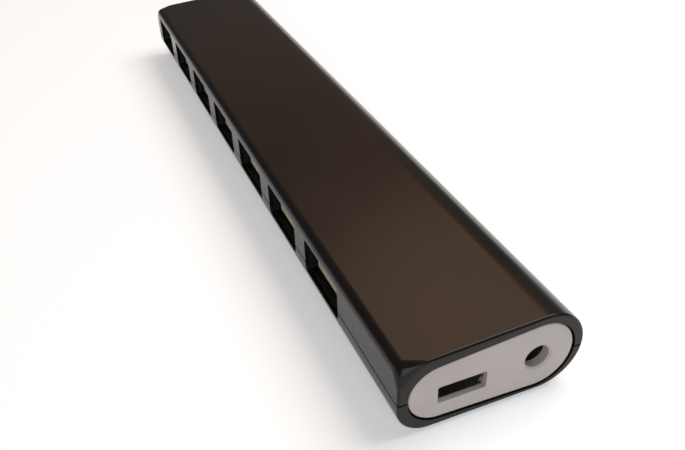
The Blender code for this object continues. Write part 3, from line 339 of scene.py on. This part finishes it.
def board_mask():
    """Green solder mask over fine copper lines."""
    made = Finish("board_green", (0.02, 0.16, 0.07), 0.4)
    traces = made.node(
        "ShaderNodeTexWave",
        {"wave_type": "BANDS", "bands_direction": "Y", "wave_profile": "SIN"},
        {
            "Vector": made.place, "Scale": 180.0, "Distortion": 3.0,
            "Detail": 1.0, "Detail Scale": 60.0,
        },
    )
    lines = made.ramp(traces, low=0.62, high=0.7)
    weave = made.noise(2400.0, detail=1.0)
    made.set("Base Color", made.mix(lines, (0.012, 0.10, 0.045), (0.03, 0.2, 0.08)))
    made.set("Roughness", 0.32 + weave * 0.15)
    made.relief(lines, depth=0.02 * MM, strength=0.6)
    return made.material


def rubber():
    """Matt black rubber with a fine open grain."""
    made = Finish("foot_rubber", (0.028, 0.028, 0.028), 0.85)
    grain = made.noise(3000.0, detail=3.0)
    dust = made.ramp(made.noise(900.0, detail=4.0), low=0.6, high=0.8)
    made.set("Base Color", made.mix(dust, (0.026, 0.026, 0.026), (0.06, 0.058, 0.055)))
    made.set("Roughness", 0.75 + grain * 0.2)
    made.relief(grain, depth=0.03 * MM, strength=0.7)
    return made.material


FINISHES = {
    "gloss_black": smoked_gloss(),
    "plate_grey": plate_satin(),
    # painted shade: the port shells' plating is set near black, darker than bare plated steel, so
    # the inside of each port renders as shade.
    "dark_steel": plated_steel("dark_steel", (0.03, 0.03, 0.032), 0.46),
    "socket_steel": plated_steel("socket_steel", (0.62, 0.61, 0.58), 0.24),
    "ivory": moulded("ivory", (0.70, 0.65, 0.45), 0.45, spread=0.06),
    "gilt_contact": plated_steel("gilt_contact", (0.75, 0.55, 0.22), 0.2),
    "jack_black": moulded("jack_black", (0.022, 0.021, 0.021), 0.4),
    "jack_metal": plated_steel("jack_metal", (0.6, 0.6, 0.6), 0.2),
    "board_green": board_mask(),
    "chip_black": moulded("chip_black", (0.025, 0.025, 0.028), 0.6),
    "can_metal": plated_steel("can_metal", (0.7, 0.7, 0.7), 0.3),
    "screw_steel": plated_steel("screw_steel", (0.45, 0.45, 0.45), 0.3),
    "foot_rubber": rubber(),
}
for part in frame["record"]["subparts"]:
    node = NODES[part["node"]]
    node.data.materials.clear()
    node.data.materials.append(FINISHES[part["material_slot"]])


# ---------------------------------------------------------------- shapes

def add_block(bm, low, high, radius=0.0, axis=None, segments=3):
    """A box between two corners, with the edges along an axis, or all of them, rounded."""
    size = [b - a for a, b in zip(low, high)]
    middle = [(a + b) / 2 for a, b in zip(low, high)]
    place = Matrix.Translation(middle) @ Matrix.Diagonal((*size, 1.0))
    corners = bmesh.ops.create_cube(bm, size=1.0, matrix=place)["verts"]
    if radius:
        edges = dict.fromkeys(edge for corner in corners for edge in corner.link_edges)
        if axis is not None:
            other = [index for index in range(3) if index != axis]
            edges = [
                edge for edge in edges
                if all(abs((edge.verts[0].co - edge.verts[1].co)[index]) < SAME for index in other)
            ]
        bmesh.ops.bevel(
            bm, geom=list(edges), offset=radius, segments=segments,
            profile=0.5, affect="EDGES", material=-1,
        )


def add_turned(bm, start, axis, length, radius, end_radius=None, segments=64):
    """A cylinder or cone from a start point along X or Z."""
    turn = Matrix.Rotation(math.pi / 2, 4, "Y") if axis == "X" else Matrix.Identity(4)
    middle = Vector(start) + turn.to_3x3() @ Vector((0, 0, length / 2))
    bmesh.ops.create_cone(
        bm, cap_ends=True, segments=segments, radius1=radius,
        radius2=radius if end_radius is None else end_radius,
        depth=length, matrix=Matrix.Translation(middle) @ turn,
    )


def swept_arc(bm, centre, radius, start, angle, steps):
    """An arc of edges in the YZ plane, swept from one vertex. Returns its two ends."""
    place = (0.0, centre[0] + radius * math.cos(start), centre[1] + radius * math.sin(start))
    seed = bmesh.ops.create_vert(bm, co=place)["vert"]
    swept = bmesh.ops.spin(
        bm, geom=seed, cent=(0.0, *centre), axis=(1, 0, 0), angle=angle, steps=steps
    )
    last = [part for part in swept["geom_last"] if isinstance(part, bmesh.types.BMVert)]
    return seed[0], last[0]


def drawn_out(bm, ends, low, high):
    """Close a ring of arcs, fill it and draw it out along X."""
    for (_, last), (first, _) in zip(ends, ends[1:] + ends[:1]):
        if (last.co - first.co).length > SAME:
            bm.edges.new((last, first))
    bmesh.ops.remove_doubles(bm, verts=bm.verts, dist=WELD)
    face = bmesh.ops.contextual_create(bm, geom=bm.edges[:])["faces"]
    bmesh.ops.translate(bm, verts=bm.verts, vec=(low, 0, 0))
    grown = bmesh.ops.extrude_face_region(bm, geom=face, use_keep_orig=True)["geom"]
    moved = [part for part in grown if isinstance(part, bmesh.types.BMVert)]
    bmesh.ops.translate(bm, verts=moved, vec=(high - low, 0, 0))
    bmesh.ops.recalc_face_normals(bm, faces=bm.faces)


def top_height(y, inset):
    """Height of the sloping top at a depth y, moved inwards by an inset."""
    rise = (REAR_RADIUS - inset) + (y - REAR_CENTRE[0]) * math.sin(TOP_SLOPE)
    return REAR_CENTRE[1] + rise / math.cos(TOP_SLOPE)


def case_form(inset, reach, steps=20, sharp_top=False):
    """The case's own form, moved inwards by an inset, between two ends."""
    bm = bmesh.new()
    low = max(BOTTOM_EDGE_RADIUS - inset, LEAST_RADIUS)
    high = max(TOP_EDGE_RADIUS - inset, LEAST_RADIUS)
    high_y = FRONT + inset + high
    quarter = math.pi / 2
    if sharp_top:
        tip = bmesh.ops.create_vert(bm, co=(0.0, FRONT, top_height(FRONT, 0.0)))["vert"][0]
        top_front = (tip, tip)
    else:
        centre = (high_y, top_height(high_y, inset + high))
        top_front = swept_arc(bm, centre, high, math.pi, TOP_SLOPE - quarter, steps)
    back = REAR_RADIUS - inset
    tilted = quarter + TOP_SLOPE
    ends = [
        swept_arc(bm, (FRONT + inset + low, BASE + inset + low), low, -quarter, -quarter, steps),
        top_front,
        swept_arc(bm, REAR_CENTRE, back, tilted, -tilted, 2 * steps),
        swept_arc(bm, REAR_CENTRE, back, 0.0, -quarter, 2 * steps),
    ]
    drawn_out(bm, ends, -reach, reach)
    return bm


def plate_form(grow, low, high, steps=48):
    """An end plate's form: two lobes with straight edges between them."""
    bm = bmesh.new()
    front, rear = Vector(FRONT_LOBE[:2]), Vector(REAR_LOBE[:2])
    across = rear - front
    lean = math.atan2(across.y, across.x)
    spread = math.acos((FRONT_LOBE[2] - REAR_LOBE[2]) / across.length)
    ends = [
        swept_arc(bm, front, FRONT_LOBE[2] + grow, lean + spread, 2 * (math.pi - spread), steps),
        swept_arc(bm, rear, REAR_LOBE[2] + grow, lean - spread, 2 * spread, steps),
    ]
    drawn_out(bm, ends, low, high)
    return bm


def mini_form(inset, low, high):
    """The mini-B socket's form: wide above, narrow below, with rounded corners."""
    bm = bmesh.new()
    half, foot = MINI_SHELL[0] / 2 - inset, MINI_FOOT / 2 - inset
    bottom = MINI_CENTRE[1] - MINI_SHELL[1] / 2
    shoulder = bottom + MINI_SHOULDER
    slant = (MINI_SHELL[0] - MINI_FOOT) / 2
    top = MINI_CENTRE[1] + MINI_SHELL[1] / 2 - inset
    sides = [(foot, bottom + inset), (foot, shoulder - slant), (half, shoulder), (half, top)]
    ring = [(MINI_CENTRE[0] + y, z) for y, z in sides]
    ring += [(MINI_CENTRE[0] - y, z) for y, z in reversed(sides)]
    corners = [bm.verts.new((low, y, z)) for y, z in ring]
    face = bm.faces.new(corners)
    grown = bmesh.ops.extrude_face_region(bm, geom=[face], use_keep_orig=True)["geom"]
    moved = [part for part in grown if isinstance(part, bmesh.types.BMVert)]
    bmesh.ops.translate(bm, verts=moved, vec=(high - low, 0, 0))
    bmesh.ops.recalc_face_normals(bm, faces=bm.faces)
    edges = [edge for edge in bm.edges if abs(edge.verts[0].co.x - edge.verts[1].co.x) > SAME]
    bmesh.ops.bevel(
        bm, geom=edges, offset=MINI_CORNER, segments=4, profile=0.5, affect="EDGES", material=-1
    )
    return bm


def object_of(name, bm):
    """A plain object from a bmesh."""
    mesh = bpy.data.meshes.new(name)
    bm.to_mesh(mesh)
    bm.free()
    made = bpy.data.objects.new(name, mesh)
    bpy.context.scene.collection.objects.link(made)
    return made


def carve(target, steps):
    """Cut shapes out of an object, or join them on, and keep the result as its own mesh."""
    helpers = []
    for operation, bm in steps:
        helper = object_of("helper", bm)
        change = target.modifiers.new("change", "BOOLEAN")
        change.operation = operation
        change.solver = "EXACT"
        change.object = helper
        helpers.append(helper)
    graph = bpy.context.evaluated_depsgraph_get()
    mesh = bpy.data.meshes.new_from_object(target.evaluated_get(graph))
    target.modifiers.clear()
    target.data = mesh
    for helper in helpers:
        bpy.data.objects.remove(helper)


def dress(piece, slot, body="hub", nodes=(), sharp=35):
    """Give a finished piece its material, its shading and its body, and hide the node it stands
    for.
    """
    piece.data.materials.clear()
    piece.data.materials.append(FINISHES[slot])
    piece.data.shade_smooth()
    piece.data.set_sharp_from_angle(angle=math.radians(sharp))
    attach(piece, body)
    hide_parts(*nodes)


def even_shading(piece):
    """Let the large faces rule the shading, so flats stay flat beside rounded edges."""
    weighted = piece.modifiers.new("even_shading", "WEIGHTED_NORMAL")
    weighted.mode = "FACE_AREA"
    weighted.keep_sharp = True


# ---------------------------------------------------------------- case

def rounded_case(name):
    """The outer form: its two top front corners cut off, then every edge rounded by its share."""
    bm = case_form(0.0, NEAR_END, sharp_top=True)
    share = bm.edges.layers.float.new("bevel_weight_edge")
    top = top_height(FRONT, 0.0)
    facets = []
    for end in (-1, 1):
        along_x = Vector((end * (NEAR_END - CORNER_CUT[0]), FRONT, top))
        inner_y = FRONT + CORNER_CUT[1]
        along_y = Vector((end * NEAR_END, inner_y, top_height(inner_y, 0.0)))
        along_z = Vector((end * NEAR_END, FRONT, top - CORNER_CUT[2]))
        outwards = (along_y - along_x).cross(along_z - along_x) * -end
        cut = bmesh.ops.bisect_plane(
            bm, geom=bm.verts[:] + bm.edges[:] + bm.faces[:], dist=PLANE_SNAP,
            plane_co=along_x, plane_no=outwards.normalized(), clear_outer=True,
        )
        edges = [part for part in cut["geom_cut"] if isinstance(part, bmesh.types.BMEdge)]
        bmesh.ops.holes_fill(bm, edges=edges, sides=0)
        facets += edges
    for edge in bm.edges:
        first, last = (corner.co for corner in edge.verts)
        if abs(abs(first.x) - NEAR_END) < SAME and abs(first.x - last.x) < SAME:
            edge[share] = END_EDGE_RADIUS / TOP_EDGE_RADIUS
        if all(abs(end.y - FRONT) < SAME and abs(end.z - top) < SAME for end in (first, last)):
            edge[share] = 1.0
    for edge in facets:
        edge[share] = CORNER_RADIUS / TOP_EDGE_RADIUS
    bmesh.ops.recalc_face_normals(bm, faces=bm.faces)
    case = object_of(name, bm)
    rounding = case.modifiers.new("rounding", "BEVEL")
    rounding.width = TOP_EDGE_RADIUS
    rounding.segments = 10
    rounding.limit_method = "WEIGHT"
    rounding.use_clamp_overlap = False
    return case


def slab(low, high):
    """A large slab between two heights."""
    bm = bmesh.new()
    add_block(bm, (-2 * NEAR_END, -NEAR_END, low), (2 * NEAR_END, NEAR_END, high))
    return bm


def port_cuts():
    """The seven openings, with rounded corners."""
    bm = bmesh.new()
    for x in PORT_XS:
        low = (x - CUTOUT[0] / 2, FRONT - WALL, PORT_Z - CUTOUT[1] / 2)
        high = (x + CUTOUT[0] / 2, FRONT + 2 * WALL, PORT_Z + CUTOUT[1] / 2)
        add_block(bm, low, high, CUTOUT_CORNER, axis=1)
    return bm


def both_ends(grow, depth, reach):
    """A plate-shaped cut at each end, from a depth inside each end outwards."""
    bm = plate_form(grow, NEAR_END - depth, NEAR_END + reach)
    far = plate_form(grow, -NEAR_END - reach, -NEAR_END + depth)
    mesh = bpy.data.meshes.new("far_cut")
    far.to_mesh(mesh)
    far.free()
    bm.from_mesh(mesh)
    bpy.data.meshes.remove(mesh)
    return bm


def columns(radius, low, high):
    """Four round posts at the screws' places. Their tops may follow the sloping roof."""
    bm = bmesh.new()
    for x, y in BOSSES:
        top = high if high is not None else top_height(y, WALL / 2)
        add_turned(bm, (x, y, low), "Z", top - low, radius, segments=32)
    return bm


def make_covers():
    """The two halves of the case, parted all the way round."""
    half_gap = PARTING_GAP / 2
    beyond = 2 * REAR_RADIUS
    for name, sheet, posts, bores in (
        (
            "top_cover",
            (BASE - beyond, PARTING + half_gap),
            (BOSS_RADIUS, PARTING - WALL, None),
            (SCREW_BORE, PARTING - WALL, SCREW_BORE_TOP),
        ),
        (
            "bottom_cover",
            (PARTING - half_gap, BASE + 2 * beyond),
            (BOSS_RADIUS, BASE + WALL / 2, PARTING + WALL),
            (SCREW_BORE, 0.0, PARTING + 2 * WALL),
        ),
    ):
        cover = rounded_case(f"{name}_form")
        steps = [
            ("DIFFERENCE", case_form(WALL, CAVITY_END, steps=8)),
            ("UNION", columns(*posts)),
            ("DIFFERENCE", slab(*sheet)),
            ("DIFFERENCE", port_cuts()),
            ("DIFFERENCE", both_ends(PLATE_GAP, REBATE, WALL)),
            ("DIFFERENCE", both_ends(-LEDGE, REBATE + WALL, 0.0)),
            ("DIFFERENCE", columns(*bores)),
        ]
        if name == "bottom_cover":
            seats = columns(FOOT_RADIUS + PLATE_GAP, BASE - WALL, FOOT_SEAT_TOP)
            heads = columns(SCREW_HEAD_ROOM, BASE, SCREW_HEAD_TOP)
            steps += [("DIFFERENCE", seats), ("DIFFERENCE", heads)]
        carve(cover, steps)
        dress(cover, "gloss_black", nodes=[name])
        even_shading(cover)


def make_end_plates():
    """The near plate with its two holes, and the plain far plate."""
    for name, low, high in (
        ("socket_end_plate", PLATE_FACE - PLATE_THICKNESS, PLATE_FACE),
        ("blank_end_plate", -PLATE_FACE, -PLATE_FACE + PLATE_THICKNESS),
    ):
        bm = plate_form(0.0, low, high)
        outer = PLATE_FACE if high > 0 else -PLATE_FACE
        rim = [edge for edge in bm.edges if all(abs(end.co.x - outer) < SAME for end in edge.verts)]
        bmesh.ops.bevel(
            bm, geom=rim, offset=PLATE_ROUNDING, segments=4,
            profile=0.5, affect="EDGES", material=-1,
        )
        plate = object_of(f"{name}_form", bm)
        if name == "socket_end_plate":
            window = bmesh.new()
            y, z = MINI_CENTRE
            half_width, half_height = MINI_WINDOW[0] / 2, MINI_WINDOW[1] / 2
            add_block(
                window, (low - WALL, y - half_width, z - half_height),
                (NEAR_END, y + half_width, z + half_height), MINI_WINDOW_CORNER, axis=0,
            )
            hole = bmesh.new()
            add_turned(
                hole, (low - WALL, *JACK_CENTRE), "X",
                2 * WALL + PLATE_THICKNESS, JACK_HOLE_RADIUS,
            )
            mouth = bmesh.new()
            add_turned(
                mouth, (high - JACK_MOUTH, *JACK_CENTRE), "X", 2 * JACK_MOUTH,
                JACK_HOLE_RADIUS, JACK_HOLE_RADIUS + 2 * JACK_MOUTH,
            )
            mini_room = mini_form(-MINI_ROOM, low - WALL, high - PLATE_WEB)
            carve(plate, [("DIFFERENCE", cut) for cut in (window, hole, mouth, mini_room)])
        dress(plate, "plate_grey", nodes=[name])
        even_shading(plate)


# ---------------------------------------------------------------- USB-A sockets

def make_port_shell(number, x):
    """Folded sheet shell: rounded corners, two springs in their windows, and four legs."""
    bm = bmesh.new()
    low = (x - SHELL[0] / 2, SHELL_FRONT, PORT_Z - SHELL[2] / 2)
    high = (x + SHELL[0] / 2, SHELL_FRONT + SHELL[1], PORT_Z + SHELL[2] / 2)
    add_block(bm, low, high, SHELL_CORNER, axis=1, segments=4)
    mouth = [face for face in bm.faces if face.normal.y < -FACING]
    bmesh.ops.inset_region(bm, faces=mouth, thickness=SHELL_SHEET, use_even_offset=True)
    mouth = [
        face for face in bm.faces
        if face.normal.y < -FACING and face.calc_area() > MOUTH_AREA
        and abs(face.calc_center_median().x - x) < MM
    ]
    grown = bmesh.ops.extrude_discrete_faces(bm, faces=mouth)["faces"]
    bmesh.ops.translate(bm, verts=grown[0].verts, vec=(0, SHELL[1] - SHELL_SHEET, 0))
    shell = object_of(f"usb_shell_{number}_form", bm)
    windows = bmesh.new()
    for side in (-1, 1):
        middle = x + side * SPRING_OFFSET
        add_block(
            windows,
            (middle - WINDOW_HALF, SHELL_FRONT + WINDOW_YS[0], PORT_Z + WINDOW_ZS[0]),
            (middle + WINDOW_HALF, SHELL_FRONT + WINDOW_YS[1], PORT_Z + WINDOW_ZS[1]),
            WINDOW_CORNER, axis=2,
        )
    carve(shell, [("DIFFERENCE", windows)])
    bm = bmesh.new()
    bm.from_mesh(shell.data)
    for side in (-1, 1):
        middle = x + side * SPRING_OFFSET
        top = high[2]
        add_block(
            bm, (middle - SPRING_HALF, SHELL_FRONT + SPRING_YS[0], top - SHELL_SHEET),
            (middle + SPRING_HALF, SHELL_FRONT + SPRING_YS[1], top),
        )
        tip = [
            corner for corner in bm.verts
            if abs(corner.co.y - SHELL_FRONT - SPRING_YS[0]) < SAME
            and abs(corner.co.x - middle) < MM and corner.co.z > PORT_Z + WINDOW_ZS[0]
        ]
        bmesh.ops.translate(bm, verts=tip, vec=(0, 0, -SPRING_DIP))
        edge_x = x + side * SHELL[0] / 2
        for leg_y in LEG_YS:
            add_block(
                bm, (min(edge_x, edge_x - side * SHELL_SHEET), leg_y, LEG_FOOT),
                (max(edge_x, edge_x - side * SHELL_SHEET), leg_y + LEG_WIDTH, PORT_Z),
            )
    bm.to_mesh(shell.data)
    bm.free()
    # painted shade: the near-black plating stands for the shade inside the port.
    dress(shell, "dark_steel", nodes=[f"usb_shell_{number}"])


def make_port_tongue(number, x):
    """Insulator with a grooved tongue and softened edges."""
    bm = bmesh.new()
    half = TONGUE[0] / 2
    add_block(
        bm, (x - half, TONGUE_FRONT, TONGUE[1]), (x + half, BLOCK_YS[0] + OVERLAP, TONGUE[2]),
        TONGUE_ROUNDING,
    )
    tongue = object_of(f"usb_tongue_{number}_form", bm)
    block = bmesh.new()
    half = BLOCK[0] / 2
    add_block(
        block, (x - half, BLOCK_YS[0], BLOCK[1]), (x + half, BLOCK_YS[1], BLOCK[2]), BLOCK_ROUNDING
    )
    grooves = bmesh.new()
    for offset in CONTACT_OFFSETS:
        left, right = x + offset - GROOVE_WIDTH / 2, x + offset + GROOVE_WIDTH / 2
        add_block(
            grooves, (left, TONGUE_FRONT + GROOVE_START, TONGUE[2] - GROOVE_DEPTH),
            (right, BLOCK_YS[0] - CONTACT_BAR / 2, TONGUE[2] + OVERRUN),
        )
    pocket = bmesh.new()
    reach = CONTACT_OFFSETS[-1] + GROOVE_WIDTH / 2
    add_block(
        pocket, (x - reach, BLOCK_YS[0] - CONTACT_BAR, TONGUE[2] - GROOVE_DEPTH),
        (x + reach, BLOCK_YS[0] + CONTACT_BAR + CONTACT_ROOM, TONGUE[2] + OVERRUN),
    )
    carve(tongue, [("UNION", block), ("DIFFERENCE", grooves), ("DIFFERENCE", pocket)])
    dress(tongue, "ivory", nodes=[f"usb_tongue_{number}"])


# ---------------------------------------------------------------- end sockets

def hollow_front(bm, sheet, depth):
    """Turn the +X face of a solid into a deep opening with an even wall."""
    front = [face for face in bm.faces if face.normal.x > FACING]
    bmesh.ops.inset_region(bm, faces=front, thickness=sheet, use_even_offset=True)
    front = [face for face in bm.faces if face.normal.x > FACING]
    inner = max(front, key=lambda face: face.calc_area())
    grown = bmesh.ops.extrude_discrete_faces(bm, faces=[inner])["faces"]
    bmesh.ops.translate(bm, verts=grown[0].verts, vec=(-depth, 0, 0))


def make_mini_shell():
    """The mini-B socket's drawn shell, open towards the end of the bar."""
    bm = mini_form(0.0, MINI_NOSE_X - MINI_DEPTH, MINI_NOSE_X)
    hollow_front(bm, MINI_SHEET, MINI_DEPTH - MINI_SHEET)
    shell = object_of("mini_usb_shell_form", bm)
    dress(shell, "socket_steel", nodes=["mini_usb_shell"])


def make_jack():
    """The power socket's moulded body: a softened block with a round nose and bore."""
    bm = bmesh.new()
    y, z = JACK_CENTRE
    half = JACK_WIDTH / 2
    front = JACK_NOSE_X - JACK_NOSE_LENGTH
    add_block(bm, (JACK_REAR, y - half, JACK_BOTTOM), (front, y + half, JACK_TOP), JACK_ROUNDING)
    body = object_of("power_jack_body_form", bm)
    nose = bmesh.new()
    add_turned(
        nose, (front - JACK_NOSE_LENGTH, y, z), "X", 2 * JACK_NOSE_LENGTH, JACK_NOSE_RADIUS
    )
    bore = bmesh.new()
    bore_start = JACK_REAR + JACK_REAR_WALL
    add_turned(bore, (bore_start, y, z), "X", JACK_NOSE_X + WALL - bore_start, JACK_BORE_RADIUS)
    slot = bmesh.new()
    add_block(
        slot, (bore_start - LEAF_SLOT_ROOM, y - LEAF_SLOT_HALF, LEAF_SLOT_BOTTOM),
        (LEAF_SLOT_FRONT_X, y + LEAF_SLOT_HALF, z),
    )
    pin_hole = bmesh.new()
    add_turned(
        pin_hole, (JACK_REAR - WALL, y, z), "X",
        JACK_REAR_WALL + 2 * WALL, JACK_PIN_RADIUS, segments=24,
    )
    carve(body, [("UNION", nose)] + [("DIFFERENCE", cut) for cut in (bore, pin_hole, slot)])
    dress(body, "jack_black", nodes=["power_jack_body"])


# ---------------------------------------------------------------- feet

def make_feet():
    """Four rubber feet with a rounded tread edge."""
    for (x, y), place in zip(BOSSES, ("near_front", "near_rear", "far_front", "far_rear")):
        bm = bmesh.new()
        add_turned(bm, (x, y, 0.0), "Z", FOOT_HEIGHT, FOOT_RADIUS)
        tread = [edge for edge in bm.edges if all(end.co.z < SAME for end in edge.verts)]
        bmesh.ops.bevel(
            bm, geom=tread, offset=FOOT_ROUNDING, segments=3,
            profile=0.5, affect="EDGES", material=-1,
        )
        dress(object_of(f"foot_{place}_form", bm), "foot_rubber", nodes=[f"foot_{place}"])


make_covers()
make_end_plates()
for number, port_x in enumerate(PORT_XS, start=1):
    make_port_shell(number, port_x)
    make_port_tongue(number, port_x)
make_mini_shell()
make_jack()
make_feet()


# ---------------------------------------------------------------- studio

camera = bpy.data.objects.new("camera", bpy.data.cameras.new("camera"))
camera.location = CAMERA_PLACE
camera.rotation_euler = CAMERA_TURN
camera.data.lens = LENS
camera.data.sensor_width = SENSOR_WIDTH
camera.data.sensor_fit = "HORIZONTAL"
camera.data.shift_y = FRAME_RISE
camera.data.clip_start, camera.data.clip_end = CAMERA_REACH
bpy.context.scene.collection.objects.link(camera)
bpy.context.scene.camera = camera
bpy.context.scene.view_settings.view_transform = "Standard"


def add_lamp(name, place, aim, size, watts):
    """A square soft lamp that looks at a point."""
    data = bpy.data.lights.new(name, "AREA")
    data.size = size
    data.energy = watts
    lamp = bpy.data.objects.new(name, data)
    lamp.location = place
    lamp.rotation_euler = (Vector(aim) - Vector(place)).to_track_quat("-Z", "Y").to_euler()
    bpy.context.scene.collection.objects.link(lamp)


def add_floor():
    """A wide pale floor that keeps the bar's shadow and reads as white."""
    bm = bmesh.new()
    bmesh.ops.create_grid(bm, x_segments=1, y_segments=1, size=FLOOR_HALF)
    floor = object_of("floor", bm)
    pale = Finish("floor_pale", FLOOR_COLOUR, 0.9, specular=0.0)
    shown = pale.node("ShaderNodeLightPath", output="Is Camera Ray")
    mirrored = pale.node("ShaderNodeLightPath", output="Is Glossy Ray")
    through = pale.node("ShaderNodeLightPath", output="Is Transmission Ray")
    pale.set("Emission Color", (*WHITE, 1.0))
    pale.set("Emission Strength", (shown + mirrored + through) * FLOOR_LIFT)
    floor.data.materials.append(pale.material)


def add_room():
    """A dim room, paler at the skirting, with a warm glow in a faint haze behind the bar."""
    world = bpy.data.worlds.new("studio")
    bpy.context.scene.world = world
    world.use_nodes = True
    room = Nodes(world.node_tree)
    direction = room.node("ShaderNodeTexCoord", output="Generated")
    height = room.node("ShaderNodeSeparateXYZ", None, {"Vector": direction}, output="Z")
    skirting = 1.0 - room.ramp(height, *SKIRTING_BAND)
    facing = room.node(
        "ShaderNodeVectorMath", {"operation": "DOT_PRODUCT"},
        {0: direction, 1: Vector(GLOW_PLACE).normalized()}, output="Value",
    )
    glow = room.ramp(facing, *GLOW_BAND)
    haze = room.ramp(facing, *HAZE_BAND)
    sky = world.node_tree.nodes["Background"]
    room.feed(sky.inputs["Color"], room.mix(haze, WHITE, GLOW_COLOUR))
    room.feed(
        sky.inputs["Strength"],
        ROOM_DIM + skirting * ROOM_SKIRTING + haze * ROOM_HAZE + glow * ROOM_GLOW,
    )


add_floor()
add_room()
for lamp in LAMPS:
    add_lamp(*lamp)
